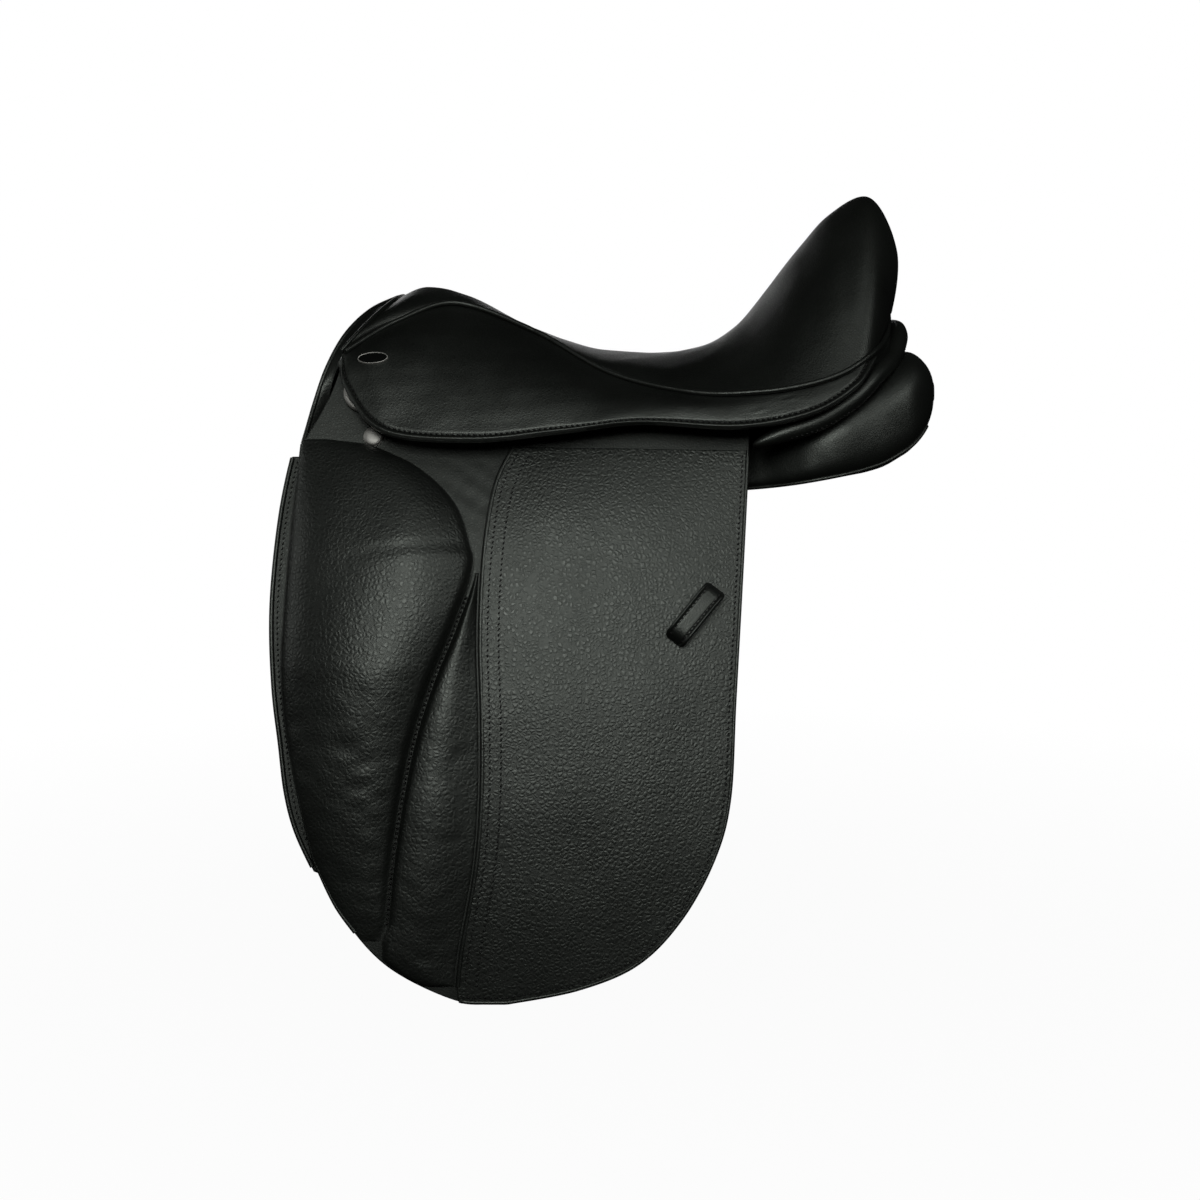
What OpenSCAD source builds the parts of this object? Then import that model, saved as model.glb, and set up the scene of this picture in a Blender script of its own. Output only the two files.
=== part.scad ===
/* [Seat] */
// How far the front corner of the seat lies ahead of the origin
front_reach = 193; // [180:1:205]
// How far the back of the cantle lies behind the origin
rear_reach = 239; // [225:1:250]
// Height of the top of the pommel
pommel_height = 169; // [160:1:178]
// Height of the lowest point of the seat
dip_height = 118.5; // [112:0.5:125]
// Height of the top of the cantle
cantle_height = 240; // [225:1:255]
// Half width of the seat at its widest
seat_half_width = 138; // [128:1:146]
// Thickness of the seat leather
seat_leather = 2.4; // [1.6:0.1:3]
// Thickness of the foam under the seat leather
foam_depth = 17; // [13:0.5:19]
// Thickness of the woven webs that carry the foam
web_thickness = 2; // [1.2:0.1:2.6]
// Radius of the piped welt between seat and skirt
welt_r = 2; // [1.4:0.1:2.4]

/* [Tree] */
// Width of the laminated side rails
rail_w = 24; // [18:1:28]
// Thickness of the laminated side rails
rail_t = 8; // [6:0.5:9]
// Thickness of the steel springs under the rails
spring_t = 1.6; // [1:0.1:2]
// Length of the head arch, front to back
head_length = 28; // [22:1:32]
// Thickness of the wooden head arch
head_t = 6; // [5:0.5:7]
// Thickness of the steel plates over and under the head
plate_t = 2.5; // [1.5:0.1:3]
// Radius of the tree rivets
rivet_r = 2.5; // [1.8:0.1:3]

/* [Flaps] */
// Radius to which the flap leather is curved, seen from the front
flap_curve_r = 1450; // [1400:10:1500]
// Slope of the flap where it leaves the skirt, in degrees from upright
flap_slope = 22; // [20:0.5:24]
// Half width of the saddle over the flaps where they leave the skirts
flap_half_width = 122; // [120:0.5:124]
// Height of that place
flap_top_z = 50; // [48:0.5:52]
// Depth of the lowest point of the flap below the origin
flap_drop = 351; // [330:1:360]
// How far the flap reaches ahead of the origin at its widest
flap_front = 230; // [224:1:234]
// How far the flap's back edge lies behind the origin
flap_rear = 112; // [104:1:118]
// Thickness of the flap leather
flap_t = 4.6; // [3.5:0.1:5]
// Thickness of the grained overlay sewn on the flap
overlay_t = 3; // [2:0.1:4]
// Thickness of the sweat flap
sweat_t = 4.4; // [3:0.1:5]
// Room between flap and sweat flap, where the girth straps hang
girth_room = 8.4; // [8:0.1:9.5]
// Depth of the thigh block
block_depth = 30; // [22:1:36]
// Depth of the wedge behind the thigh block
wedge_depth = 13; // [9:1:17]
// Thickness of the stirrup leather keeper
keeper_t = 2.4; // [1.6:0.1:3]
// Length of the keeper
keeper_l = 50; // [44:1:56]
// Width of the keeper
keeper_w = 15; // [12:1:18]
// Room under the keeper
keeper_rise = 8; // [7:0.5:10]

/* [Skirts] */
// Half width of the saddle over the skirts at their lower edge
skirt_half_width = 152; // [148:1:156]
// Height of the lowest point of the skirt's lower edge
skirt_low_z = 42; // [38:1:46]
// Thickness of the skirt leather
skirt_t = 3.6; // [2.5:0.1:4.5]
// How far the skirt swells outward between welt and lower edge
skirt_swell = 9; // [6:0.5:11]
// Length of the oval button
button_l = 23; // [18:1:26]
// Height of the oval button
button_h = 10.5; // [7:0.5:11]

/* [Girth straps] */
// Width of a girth strap
billet_w = 30; // [24:1:34]
// Thickness of a girth strap
billet_t = 4; // [3:0.1:4.4]
// Height of the lower end of the girth straps below the origin
billet_drop = 285; // [270:1:310]
// Radius of the buckle holes
billet_hole_r = 2.5; // [2:0.1:3]
// Number of buckle holes in a strap
billet_holes = 6; // [4:1:7]
// Distance between buckle holes
billet_pitch = 25; // [20:1:28]
// Distance of the front strap behind the origin
front_billet_x = -18; // [-20:1:-12]
// Distance of the rear strap behind the origin
rear_billet_x = 48; // [46:1:58]

/* [Metalwork] */
// Height of the stirrup bars
bar_z = 70; // [67:1:73]
// Height of the stirrup bar's section
bar_h = 12; // [9:0.5:14]
// Thickness of the stirrup bar
bar_t = 8; // [6:0.5:9]
// Length of the stirrup bar's open side
bar_l = 78; // [66:1:84]
// Room behind the bar for the stirrup leather
bar_room = 9; // [7:0.5:9.5]
// Radius of the catch's pin
pin_r = 2; // [1.5:0.1:2.5]
// Radius of the dee, to the middle of its wire
dee_r = 14; // [12:0.5:16]
// Radius of the dee's wire
dee_wire_r = 1.8; // [1.4:0.1:2.2]
// Radius of the domed stud on the flap
stud_r = 7.5; // [6:0.5:9]
// Clearance between pieces that lie on each other
seat_gap = 0.3; // [0.2:0.05:0.5]
// Running clearance of a pin in its bore
run_gap = 0.05; // [0.02:0.01:0.09]

/* [Hidden] */
$fn = 48;
black_leather = "#1b1c1a";
grained_leather = "#222321";
lining_leather = "#2a2b28";
nickel = "#c9cac6";
steel = "#8d9094";
wood = "#b98f5c";
foam_white = "#d8d2bf";
web_grey = "#77776f";

// Plain helpers
function lerp(a, b, f) = a + (b - a) * f;
function unit(v) = v / norm(v);
function flat(rows) = [for (row = rows) each row];
function steps(low, high, count) = [for (k = [0:count]) lerp(low, high, k / count)];
// Smooth curve through the knots; t runs from 0 at the first to their number less one
function spline(knots, t) =
    let (last = len(knots) - 1, i = min(floor(t), last - 1), f = t - i,
         a = knots[max(i - 1, 0)], b = knots[i], c = knots[i + 1], d = knots[min(i + 2, last)])
    b + 0.5 * f * (c - a + f * (2 * a - 5 * b + 4 * c - d + f * (3 * (b - c) + d - a)));
// Value at x on the smooth curve through [x, value] knots, by the knot that x lies past
function curve_at(knots, x) =
    let (last = len(knots) - 1,
         i = max([0, for (k = [0:last - 1]) if ((x - knots[k][0]) * (knots[1][0] - knots[0][0]) >= 0) k]),
         f = (x - knots[i][0]) / (knots[i + 1][0] - knots[i][0]))
    spline(knots, i + min(max(f, 0), 1))[1];

// Closed sheet between two grids of points. Rows run front to rear, columns upward or to the right.
module sheet(top, under) {
    cols = len(top[0]);
    count = len(top) * cols;
    last = len(top) - 1;
    quads = [for (i = [0:last - 1], j = [0:cols - 2]) i * cols + j];
    edge = [for (j = [0:cols - 2]) j, for (i = [0:last - 1]) i * cols + cols - 1,
            for (j = [cols - 1:-1:1]) last * cols + j, for (i = [last:-1:1]) i * cols];
    polyhedron(concat(flat(top), flat(under)), concat(
        [for (a = quads) each [[a, a + 1, a + cols], [a + 1, a + cols + 1, a + cols]]],
        [for (a = quads) each [[count + a, count + a + cols, count + a + 1],
                               [count + a + 1, count + a + cols, count + a + cols + 1]]],
        [for (k = [0:len(edge) - 1]) let (p = edge[k], q = edge[(k + 1) % len(edge)])
            each [[q, p, count + p], [q, count + p, count + q]]]));
}

// Closed skin over rings of points that turn right-handed about the way they follow each other
module loft(rings) {
    n = len(rings[0]);
    last = (len(rings) - 1) * n;
    polyhedron(flat(rings), concat(
        [for (i = [0:len(rings) - 2], j = [0:n - 1]) let (a = i * n + j, b = i * n + (j + 1) % n)
            each [[a, a + n, b], [b, a + n, b + n]]],
        [for (j = [1:n - 2]) [0, j, j + 1]],
        [for (j = [1:n - 2]) [last, last + j + 1, last + j]]));
}

// Way of a path at point k
function along(path, k) = unit(path[min(k + 1, len(path) - 1)] - path[max(k - 1, 0)]);
function ring_side(way) = unit(cross(way, [0, 0, 1]));

// Round cord along a path, with one radius for each point
module cord(path, radii, sides = 8)
    loft([for (k = [0:len(path) - 1])
        let (way = along(path, k), side = ring_side(way), up = cross(side, way))
        [for (a = [0:360 / sides:359]) path[k] + radii[k] * (cos(a) * side - sin(a) * up)]]);

// Flat strip along a path, with the way out of its face at each point, lifted off the path by shift
module strip(path, faces, width, thick, shift = 0)
    loft([for (k = [0:len(path) - 1])
        let (way = along(path, k), side = unit(cross(way, faces[k])), up = cross(side, way))
        [for (c = [[1, -1], [-1, -1], [-1, 1], [1, 1]])
            path[k] + side * c[0] * width / 2 + up * (shift + c[1] * thick / 2)]]);

// Left pieces are drawn as they are, right ones mirrored
left = 1;
right = -1;
module on_side(side) {
    if (side == left) children();
    else mirror([0, 1, 0]) children();
}

// Seat form, front to rear: crown place and height, welt place, half width and height in percent,
// and how sharply the seat falls from crown to welt. Heights count from the dip of the seat.
seat_rows = [
    [-81, 86, -100, 78, -7, 1.5], [-71, 100, -82, 55, 39, 1.4], [-54, 86, -58, 38, 70, 1.3],
    [-25, 31, -25, 49, 25, 1.3], [4, 0, 4, 72, -16, 1.5], [29, 1, 29, 92, -28, 1.7],
    [46, 17, 49, 100, -28, 1.9], [65, 63, 65, 100, -23, 2.1], [77, 89, 76, 96, -15, 2.1],
    [90, 100, 85.5, 83, -2, 1.8], [99, 67, 91, 54, 8, 1.35], [98.5, 27.5, 97.5, 7, 23.5, 1]];
seat_last = len(seat_rows) - 1;
function seat_x(share) = share / 100 * (share < 0 ? front_reach : rear_reach);
function seat_z(share, x_share) =
    dip_height + share / 100 * ((x_share < 0 ? pommel_height : cantle_height) - dip_height);
crown_knots = [for (r = seat_rows) [seat_x(r[0]), 0, seat_z(r[1], r[0])]];
welt_knots = [for (r = seat_rows) [seat_x(r[2]), -seat_half_width * r[3] / 100, seat_z(r[4], r[0])]];
fall_knots = [for (r = seat_rows) r[5]];

// Stretch of the centre line that the layers under the seat draw in towards
core_front = -front_reach;
core_rear = 0.63 * rear_reach;
function draw_in(w) = unit([min(max(w.x, core_front), core_rear) - w.x, -w.y, 0]);
function crown(t, depth) =
    let (way = unit(spline(crown_knots, min(t + 0.02, seat_last)) - spline(crown_knots, max(t - 0.02, 0))))
    spline(crown_knots, t) + depth * [way.z, 0, -way.x];
function welt(t, depth = 0) = let (w = spline(welt_knots, t)) w + depth * (draw_in(w) - [0, 0, 1]);
// Point of the seat at station t, turned by a from the crown (-90 left welt, 90 right welt)
function seat_point(t, a, depth) =
    let (w = welt(t, depth), c = crown(t, depth), rise = pow(cos(a), spline(fall_knots, t)))
    [lerp(w.x, c.x, rise), -w.y * sin(a), lerp(w.z, c.z, rise)];
function seat_grid(ts, turns, depth) = [for (t = ts) [for (a = turns) seat_point(t, a, depth)]];

// Layers under the seat, counted down from its outer face
layer_gap = 1;
foam_top = seat_leather + seat_gap;
foam_base = foam_top + foam_depth;
web_top = foam_base + layer_gap;
rail_mid = web_top + web_thickness + layer_gap + rail_t / 2;

// Flap leathers are rolled to one axis that runs front to rear
flap_axis_y = -flap_half_width + flap_curve_r * cos(flap_slope);
flap_axis_z = flap_top_z - flap_curve_r * sin(flap_slope);
function flap_y(z, r = flap_curve_r) = flap_axis_y - sqrt(r * r - pow(z - flap_axis_z, 2));
function slope_at(z) = asin((z - flap_axis_z) / flap_curve_r);
flap_inner_r = flap_curve_r - flap_t;
sweat_outer_r = flap_inner_r - girth_room;
sweat_inner_r = sweat_outer_r - sweat_t;
overlay_inner_r = flap_curve_r + seat_gap;

// Stretch of rolled leather between two radii, cut to an outline seen from the side
module rolled(outer_r, thick, outline) {
    intersection() {
        translate([0, flap_axis_y, flap_axis_z]) rotate([0, 90, 0])
            difference() {
                cylinder(r = outer_r, h = 2 * roll_span, center = true, $fn = 360);
                cylinder(r = outer_r - thick, h = 3 * roll_span, center = true, $fn = 360);
            }
        translate([0, -roll_near, 0]) rotate([90, 0, 0])
            linear_extrude(roll_reach) polygon(outline);
    }
}
roll_span = flap_front + flap_rear;
roll_near = 40;
roll_reach = 2 * flap_half_width;

// Places a piece on the flap at x and height z: its own Z points out of the leather, Y up the slope
function on_roll(x, z, r) = [x, flap_y(z) - (r - flap_curve_r) * cos(slope_at(z)),
                             z + (r - flap_curve_r) * sin(slope_at(z))];
module on_flap(x, z, r = flap_curve_r)
    translate(on_roll(x, z, r)) rotate([90 - slope_at(z), 0, 0]) children();

// Bend line where the flap lifts, and the tab in front of the block that bends with it
bend_z = skirt_low_z + 1.5;
bend_out = 20;
bend_gap = 0.6;
tab_z = bend_z + 9;
tab_x = -178;
tab_slant = 3;

// Side outlines as [height, place] knots, from the top down
drop_share = flap_drop / 351;
front_share = flap_front / 230;
rear_share = flap_rear / 112;
flap_front_knots = [[tab_z, -222 * front_share], [-9 * drop_share, -226 * front_share],
    [-66 * drop_share, -229 * front_share], [-122 * drop_share, -flap_front],
    [-178 * drop_share, -222 * front_share], [-249 * drop_share, -205 * front_share],
    [-283 * drop_share, -188 * front_share], [-314 * drop_share, -164 * front_share],
    [-333 * drop_share, -139 * front_share], [-349 * drop_share, -103 * front_share],
    [-flap_drop, -80 * front_share]];
flap_rear_knots = [[tab_z, flap_rear], [-38 * drop_share, 105.5 * rear_share],
    [-137 * drop_share, 98.5 * rear_share], [-207 * drop_share, 94 * rear_share],
    [-249 * drop_share, 82.5 * rear_share], [-291 * drop_share, 59 * rear_share],
    [-323 * drop_share, 27.5 * rear_share], [-341 * drop_share, -15 * rear_share],
    [-flap_drop, -66 * rear_share]];
block_top = tab_z - 3.5;
block_rear_knots = [[block_top, -200], [45, -170], [31, -140], [14, -118], [-5, -103], [-27, -95],
    [-45, -92], [-83, -104], [-128, -122], [-170, -135], [-211, -143], [-253, -149], [-294, -153],
    [-308, -158]];
overlay_front_knots = [[bend_z - 1, -65], [12, -78], [-38, -85], [-95, -87], [-151, -85], [-207, -85],
    [-256, -89], [-312, -99], [-338 * drop_share, -102]];
sweat_front_knots = [[128, -192], [105, -205], [82, -213], [56, -226], [45, -231], [-3, -239], [-68, -243],
    [-125, -240], [-168, -234], [-203, -229], [-231, -221], [-262, -206]];
function side_points(knots, count) =
    [for (k = [0:count]) let (p = spline(knots, k * (len(knots) - 1) / count)) [p[1], p[0]]];
function reversed(list) = [for (k = [len(list) - 1:-1:0]) list[k]];
// Outline of a band on both sides of the centre plane, from its outer and inner edge on one side
function across(outer, inner) =
    let (far = function (list) [for (k = [1:len(list) - 1]) [-list[k].x, list[k].y]])
    concat(reversed(far(outer)), outer, reversed(inner), far(inner));
function within(points, low, high) = [for (p = points) if (p[1] >= low && p[1] <= high) p];

// Head arch of the tree: half profile as [half width, height] knots, its lean and its place
head_lean = 18;
head_x = -128;
head_top = 136;
point_tip_z = 44;
point_room = 3;
point_mid_r = sweat_inner_r - head_t / 2 - point_room;
head_knots = [[0, head_top], [36, head_top - 6], [62, 118], [-flap_y(96, point_mid_r), 96],
    [-flap_y(70, point_mid_r), 70], [-flap_y(point_tip_z, point_mid_r), point_tip_z]];
// Band along the head profile, between two offsets to its outside, down to the share of its length
function head_band(inner, outer, share) =
    let (count = 20, last = share * (len(head_knots) - 1),
         path = [for (k = [0:count]) spline(head_knots, last * k / count)],
         ways = [[1, 0], for (k = [1:count]) unit(path[min(k + 1, count)] - path[k - 1])],
         side = function (d) [for (k = [0:count]) path[k] + d * [-ways[k].y, ways[k].x]])
    [for (p = across(side(outer), side(inner))) [p.x, (p.y - head_top) / cos(head_lean)]];
module head_arch(inner, outer, share, length)
    translate([head_x, 0, head_top]) rotate([0, head_lean, 0]) rotate([90, 0, -90])
        linear_extrude(length) polygon(head_band(inner, outer, share));

// Length of a cut that passes right through a leather or a plate
through = 80;

// Rivets through head and plates, set back from the head's rear face
plate_inset = 4;
head_rivet_places = [7, 17];
module head_holes(r, length)
    translate([head_x, 0, head_top]) rotate([0, head_lean, 0])
        for (d = head_rivet_places) translate([-d, 0, 0]) cylinder(r = r, h = length, center = true);
module riveted(inner, outer, share, length) difference() {
    head_arch(inner, outer, share, length);
    head_holes(rivet_r + run_gap, through);
}
module tree_head() color(wood) difference() {
    riveted(-head_t / 2, head_t / 2, 1, head_length);
    for (side = [left, right]) on_side(side) on_flap(0, bar_z) for (x = bar_rivet_xs)
        translate([x, 0, 0]) cylinder(r = rivet_r + run_gap, h = through, center = true);
}
module head_plate() color(steel)
    riveted(head_t / 2 + seat_gap, head_t / 2 + seat_gap + plate_t, 0.5, head_length - plate_inset);
module gullet_plate() color(steel)
    riveted(-head_t / 2 - seat_gap - plate_t, -head_t / 2 - seat_gap, 0.62, head_length - plate_inset);
module head_rivets() color(steel) head_holes(rivet_r, head_t + 2 * plate_t + 2 * seat_gap);

// Side rails: one bent frame that runs back from the head, round the cantle and forward again
rail_turn = 52;
rail_front_x = -113.4;
rail_start = curve_at([for (k = [0:seat_last]) [crown_knots[k].x, k]], rail_front_x);
rail_end = 8.6;
// The rails sink deeper from one station on, to clear the foam of the cantle
rail_sink = 7;
sink_from = 7.5;
// Places on the seat as [station, turn, how much deeper]
function rail_side(turn, from, to, count) =
    [for (t = steps(from, to, count)) [t, turn, max(0, rail_sink * (t - sink_from))]];
rail_bend = [[9.2, -46, 9], [9.6, -38, 9.5], [9.9, -28, 9], [10.05, -15, 8]];
rail_places = concat(rail_side(-rail_turn, rail_start, rail_end, 20), rail_bend,
    [[rail_bend[3][0], 0, rail_bend[3][2]]], [for (p = reversed(rail_bend)) [p[0], -p[1], p[2]]],
    rail_side(rail_turn, rail_end, rail_start, 20));
function on_seat(places, depth) = [for (p = places) seat_point(p[0], p[1], depth + p[2])];
// Way out of the seat's face at each place
function seat_faces(places) = [for (p = places) let (e = 0.1, d = 4)
    unit(cross(seat_point(p[0] + e, p[1], rail_mid) - seat_point(p[0] - e, p[1], rail_mid),
               seat_point(p[0], p[1] + d, rail_mid) - seat_point(p[0], p[1] - d, rail_mid)))];
module tree_rails() color(wood)
    strip(on_seat(rail_places, rail_mid), seat_faces(rail_places), rail_w, rail_t);
spring_gap = 1.3;
spring_places = rail_side(-rail_turn, 2.6, sink_from, 16);
module rail_spring(side) on_side(side) color(steel)
    strip(on_seat(spring_places, rail_mid), seat_faces(spring_places), rail_w / 2, spring_t,
          -(rail_t + spring_t) / 2 - spring_gap);

// Seat
seat_turns = steps(-90, 90, 16);
seat_stations = steps(0, seat_last, 33);
module seat_cover() color(black_leather)
    sheet(seat_grid(seat_stations, seat_turns, 0), seat_grid(seat_stations, seat_turns, seat_leather));
// The foam starts behind the head of the tree and ends over the top of the cantle
foam_first = 5;
foam_last = 28;
foam_stations = [for (k = [foam_first:foam_last]) seat_stations[k]];
module seat_foam() color(foam_white)
    sheet(seat_grid(foam_stations, seat_turns, foam_top), seat_grid(foam_stations, seat_turns, foam_base));
module web_strap(from, to, turn, rows, cols)
    sheet(seat_grid(steps(from, to, rows), steps(-turn, turn, cols), web_top),
          seat_grid(steps(from, to, rows), steps(-turn, turn, cols), web_top + web_thickness));
long_web_turn = 20;
cross_web_turn = 64;
module seat_webs() color(web_grey) {
    web_strap(2.4, 9.4, long_web_turn, 28, 4);
    web_strap(4.6, 5.4, cross_web_turn, 2, 12);
}
function welt_way(t) = unit(welt(min(t + 0.05, seat_last)) - welt(max(t - 0.05, 0)));
module seat_welt(side) on_side(side) color(black_leather)
    cord([for (t = seat_stations) welt(t) + ring_side(welt_way(t)) * (welt_r + 2 * seat_gap)],
         [for (t = seat_stations) welt_r], 6);

// Skirt: leaf of leather from the welt to a lower edge, in rows from the front corner to the rear one
skirt_last = 9;
welt_room = 2.9 * welt_r;
skirt_knots = [for (p = [[-100.5, 75, 66], [-98, 82, 44], [-83, 94, 13], [-49, 99, 6.5], [-15, 99, 13],
    [12, 98, 19.5], [42, 100, 16], [65, 99, 26], [79.5, 91, 46], [86, 78, 66]])
    [seat_x(p[0]), -skirt_half_width * p[1] / 100, skirt_low_z + p[2]]];
// Point at row t, share s of the way from the lower edge up to the welt, inside the outer face by depth
function skirt_outer(t, s) =
    let (low = spline(skirt_knots, t), rise = welt(t) - low, up = unit(rise), free = norm(rise) - welt_room)
    low + up * free * s + [0, -0.75, 0.66] * skirt_swell * sin(180 * s) * min(free / 100, 1);
function skirt_point(t, s, depth) =
    let (e = 0.04, p = skirt_outer(t, s),
         way = skirt_outer(min(t + e, skirt_last), s) - skirt_outer(max(t - e, 0), s),
         up = skirt_outer(t, min(s + e, 1)) - skirt_outer(t, max(s - e, 0)))
    p + depth * unit(cross(up, way));
skirt_shares = steps(0, 1, 7);
function skirt_grid(depth) =
    [for (t = steps(0, skirt_last, 27)) [for (s = skirt_shares) skirt_point(t, s, depth)]];
module skirt_leaf() sheet(skirt_grid(0), skirt_grid(skirt_t));
// Bend line where the skirt's front lobe lifts for the stirrup bar
lobe_front = skirt_outer(0.5, 0);
lobe_rear = skirt_outer(4.6, 0);
lobe_out = 10;
lobe_way = unit(lobe_rear - lobe_front);
lobe_normal = unit(cross(lobe_way, [0, 0.55, 0.8]));
lobe_down = cross(lobe_way, lobe_normal);
lobe_axis = (lobe_front + lobe_rear) / 2 + lobe_out * lobe_normal;
module below_lobe_bend(gap) {
    span = 2 * norm(lobe_rear - lobe_front);
    m = [lobe_way, lobe_normal, lobe_down];
    multmatrix([for (k = [0:2]) [m[0][k], m[1][k], m[2][k], lobe_axis[k]]])
        translate([-span / 2, -span / 2, gap]) cube(span);
}
module skirt_top(side) on_side(side) color(black_leather)
    difference() {
        skirt_leaf();
        below_lobe_bend(0);
    }
module skirt(side) on_side(side) color(black_leather)
    intersection() {
        skirt_leaf();
        below_lobe_bend(bend_gap);
    }

// Panel: stuffed cushion, in stations [x, then [y, z] of inner top, outer top, outer base, inner base]
rear_scale = rear_reach / 239;
panel_rows = [
    [-200, [-42, 100], [-62, 94], [-82, 50], [-60, 62]], [-150, [-36, 104], [-66, 92], [-90, 40], [-60, 60]],
    [-60, [-30, 82], [-76, 70], [-102, 22], [-50, 48]],
    [40 * rear_scale, [-26, 64], [-86, 50], [-106, 4], [-38, 30]],
    [110 * rear_scale, [-24, 70], [-90, 54], [-110, 5], [-32, 26]],
    [160 * rear_scale, [-22, 88], [-126, 62], [-128, 12], [-28, 28]],
    [210 * rear_scale, [-22, 108], [-120, 84], [-126, 22], [-28, 36]],
    [257 * rear_scale, [-36, 116], [-100, 104], [-108, 46], [-38, 54]]];
panel_front = -206;
panel_rear = 257 * rear_scale;
panel_nose = 26;
panel_square = 0.62;
function panel_corner(x, c) = [curve_at([for (r = panel_rows) [r[0], r[c].x]], x),
                               curve_at([for (r = panel_rows) [r[0], r[c].y]], x)];
function power(v, e) = sign(v) * pow(abs(v), e);
function panel_ring(x, sides = 14) =
    let (corners = [for (c = [1:4]) panel_corner(x, c)],
         middle = (corners[0] + corners[1] + corners[2] + corners[3]) / 4,
         reach = min(x - panel_front, panel_rear - x, panel_nose) / panel_nose,
         full = sqrt(1 - pow(1 - max(reach, 0.02), 2)))
    [for (j = [0:sides - 1])
        let (u = (1 + power(cos(360 * (j + 0.5) / sides), panel_square)) / 2,
             v = (1 + power(sin(360 * (j + 0.5) / sides), panel_square)) / 2,
             p = lerp(lerp(corners[3], corners[2], 1 - u), lerp(corners[0], corners[1], 1 - u), v),
             q = middle + full * (p - middle))
        [x, q.x, q.y]];
panel_stations = concat([for (e = [0, 0.05, 0.2, 0.5, 1]) panel_front + e * panel_nose],
    steps(panel_front + 2 * panel_nose, panel_rear - 2 * panel_nose, 14),
    [for (e = [1.5, 1, 0.7, 0.45, 0.25, 0.1, 0.03, 0]) panel_rear - e * panel_nose]);
module panel(side) on_side(side) color(black_leather) loft([for (x = panel_stations) panel_ring(x)]);

// Lining that joins the two panels over the channel
lining_t = 2;
lining_lap = 6;
lining_bow = 6;
lining_stations = steps(-192, 206 * rear_scale, 16);
function lining_row(x, drop) =
    let (w = lining_lap - panel_corner(x, 1).x, z = panel_corner(x, 1).y)
    [for (s = steps(-1, 1, 6)) [x, s * w, z + lining_bow * (1 - s * s) - drop]];
module gullet_lining() color(lining_leather)
    sheet([for (x = lining_stations) lining_row(x, 0)], [for (x = lining_stations) lining_row(x, lining_t)]);

// Facing: leather over the front of the head, from the seat's front edge round to the gullet
facing_t = 2.5;
facing_edges = [
    [[-214, -104, 46], [-206, -103, 76], [-197, -104, 104], [-181, -91, 127], [-166, -60, 147],
     [-155, 0, 158.5]],
    [[-225, -107, 46], [-215.5, -106, 77], [-206.5, -98, 104], [-195, -81, 129], [-180, -51, 148],
     [-164, 0, 161]],
    [[-226, -98, 46], [-217, -92, 74], [-209, -82, 100], [-198.5, -66, 122], [-186, -42, 140],
     [-173, 0, 150]],
    [[-222, -84, 46], [-215, -74, 72], [-208, -60, 94], [-201, -46, 110], [-193, -28, 122],
     [-184, 0, 128]],
    [[-212, -80, 48], [-206, -68, 72], [-201, -54, 92], [-195, -40, 106], [-188, -24, 116],
     [-181, 0, 120]]];
function facing_point(v, s, depth) =
    let (k = 5 * (1 - abs(s)), e = 0.05,
         at = function (v, k) spline([for (edge = facing_edges) spline(edge, k)], v),
         p = at(v, k), a = at(min(v + e, 4), k) - at(max(v - e, 0), k),
         b = at(v, min(k + e, 5)) - at(v, max(k - e, 0)),
         q = p + depth * unit(cross(a, b)))
    [q.x, -sign(s) * q.y, q.z];
module head_facing() color(black_leather)
    sheet([for (v = steps(4, 0, 8)) [for (s = steps(-1, 1, 20)) facing_point(v, s, 0)]],
          [for (v = steps(4, 0, 8)) [for (s = steps(-1, 1, 20)) facing_point(v, s, facing_t)]]);

// Roll behind the cantle, tapered to its front ends
roll_r = 7;
roll_knots = [for (p = [[126, -139, 45.5], [106, -138, 53], [77, -134, 63], [51, -126, 79], [33, -113, 96],
    [17, -88, 110], [7, -58, 126], [4, -28, 134], [3, 0, 136.5]]) [rear_reach - p.x, p.y, p.z]];
roll_half = [for (t = steps(0, len(roll_knots) - 1, 16)) spline(roll_knots, t)];
roll_last = len(roll_half) - 1;
roll_path = concat(roll_half, [for (k = [roll_last - 1:-1:0]) let (p = roll_half[k]) [p.x, -p.y, p.z]]);
roll_tip = 0.45;
roll_grow = 0.14;
module cantle_roll() color(black_leather)
    cord(roll_path, [for (k = [0:2 * roll_last])
        roll_r * min(1, roll_tip + roll_grow * min(k, 2 * roll_last - k))], 10);

// Sweat flap under the girth straps, sewn to the panel
sweat_top = bend_z - 2;
sweat_rear = 88;
sweat_round = 60;
sweat_drop = 262;
sweat_outline = concat([[sweat_rear, sweat_top]],
    [for (a = steps(0, 90, 6)) [sweat_rear, -sweat_drop] + sweat_round * [cos(a) - 1, 1 - sin(a)]],
    reversed(within(side_points(sweat_front_knots, 40), -sweat_drop + 1, sweat_top)));
module sweat_flap(side) on_side(side) color(lining_leather) rolled(sweat_outer_r, sweat_t, sweat_outline);

// Pocket that holds the tip of the tree point
pocket_x = -176;
pocket_w = 34;
pocket_h = 16;
pocket_t = 2;
stud_x = -169;
stud_z = 51;
nail_r = 1.5;
pocket_foot = point_tip_z - 4;
module point_pocket(side) on_side(side) color(lining_leather)
    difference() {
        rolled(sweat_outer_r + seat_gap + pocket_t, pocket_t, [for (c = [[-1, 0], [1, 0], [1, 1], [-1, 1]])
            [pocket_x + c.x * pocket_w / 2, pocket_foot + c.y * pocket_h]]);
        on_flap(stud_x, stud_z) cylinder(r = nail_r + seat_gap, h = through, center = true);
    }

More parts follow.
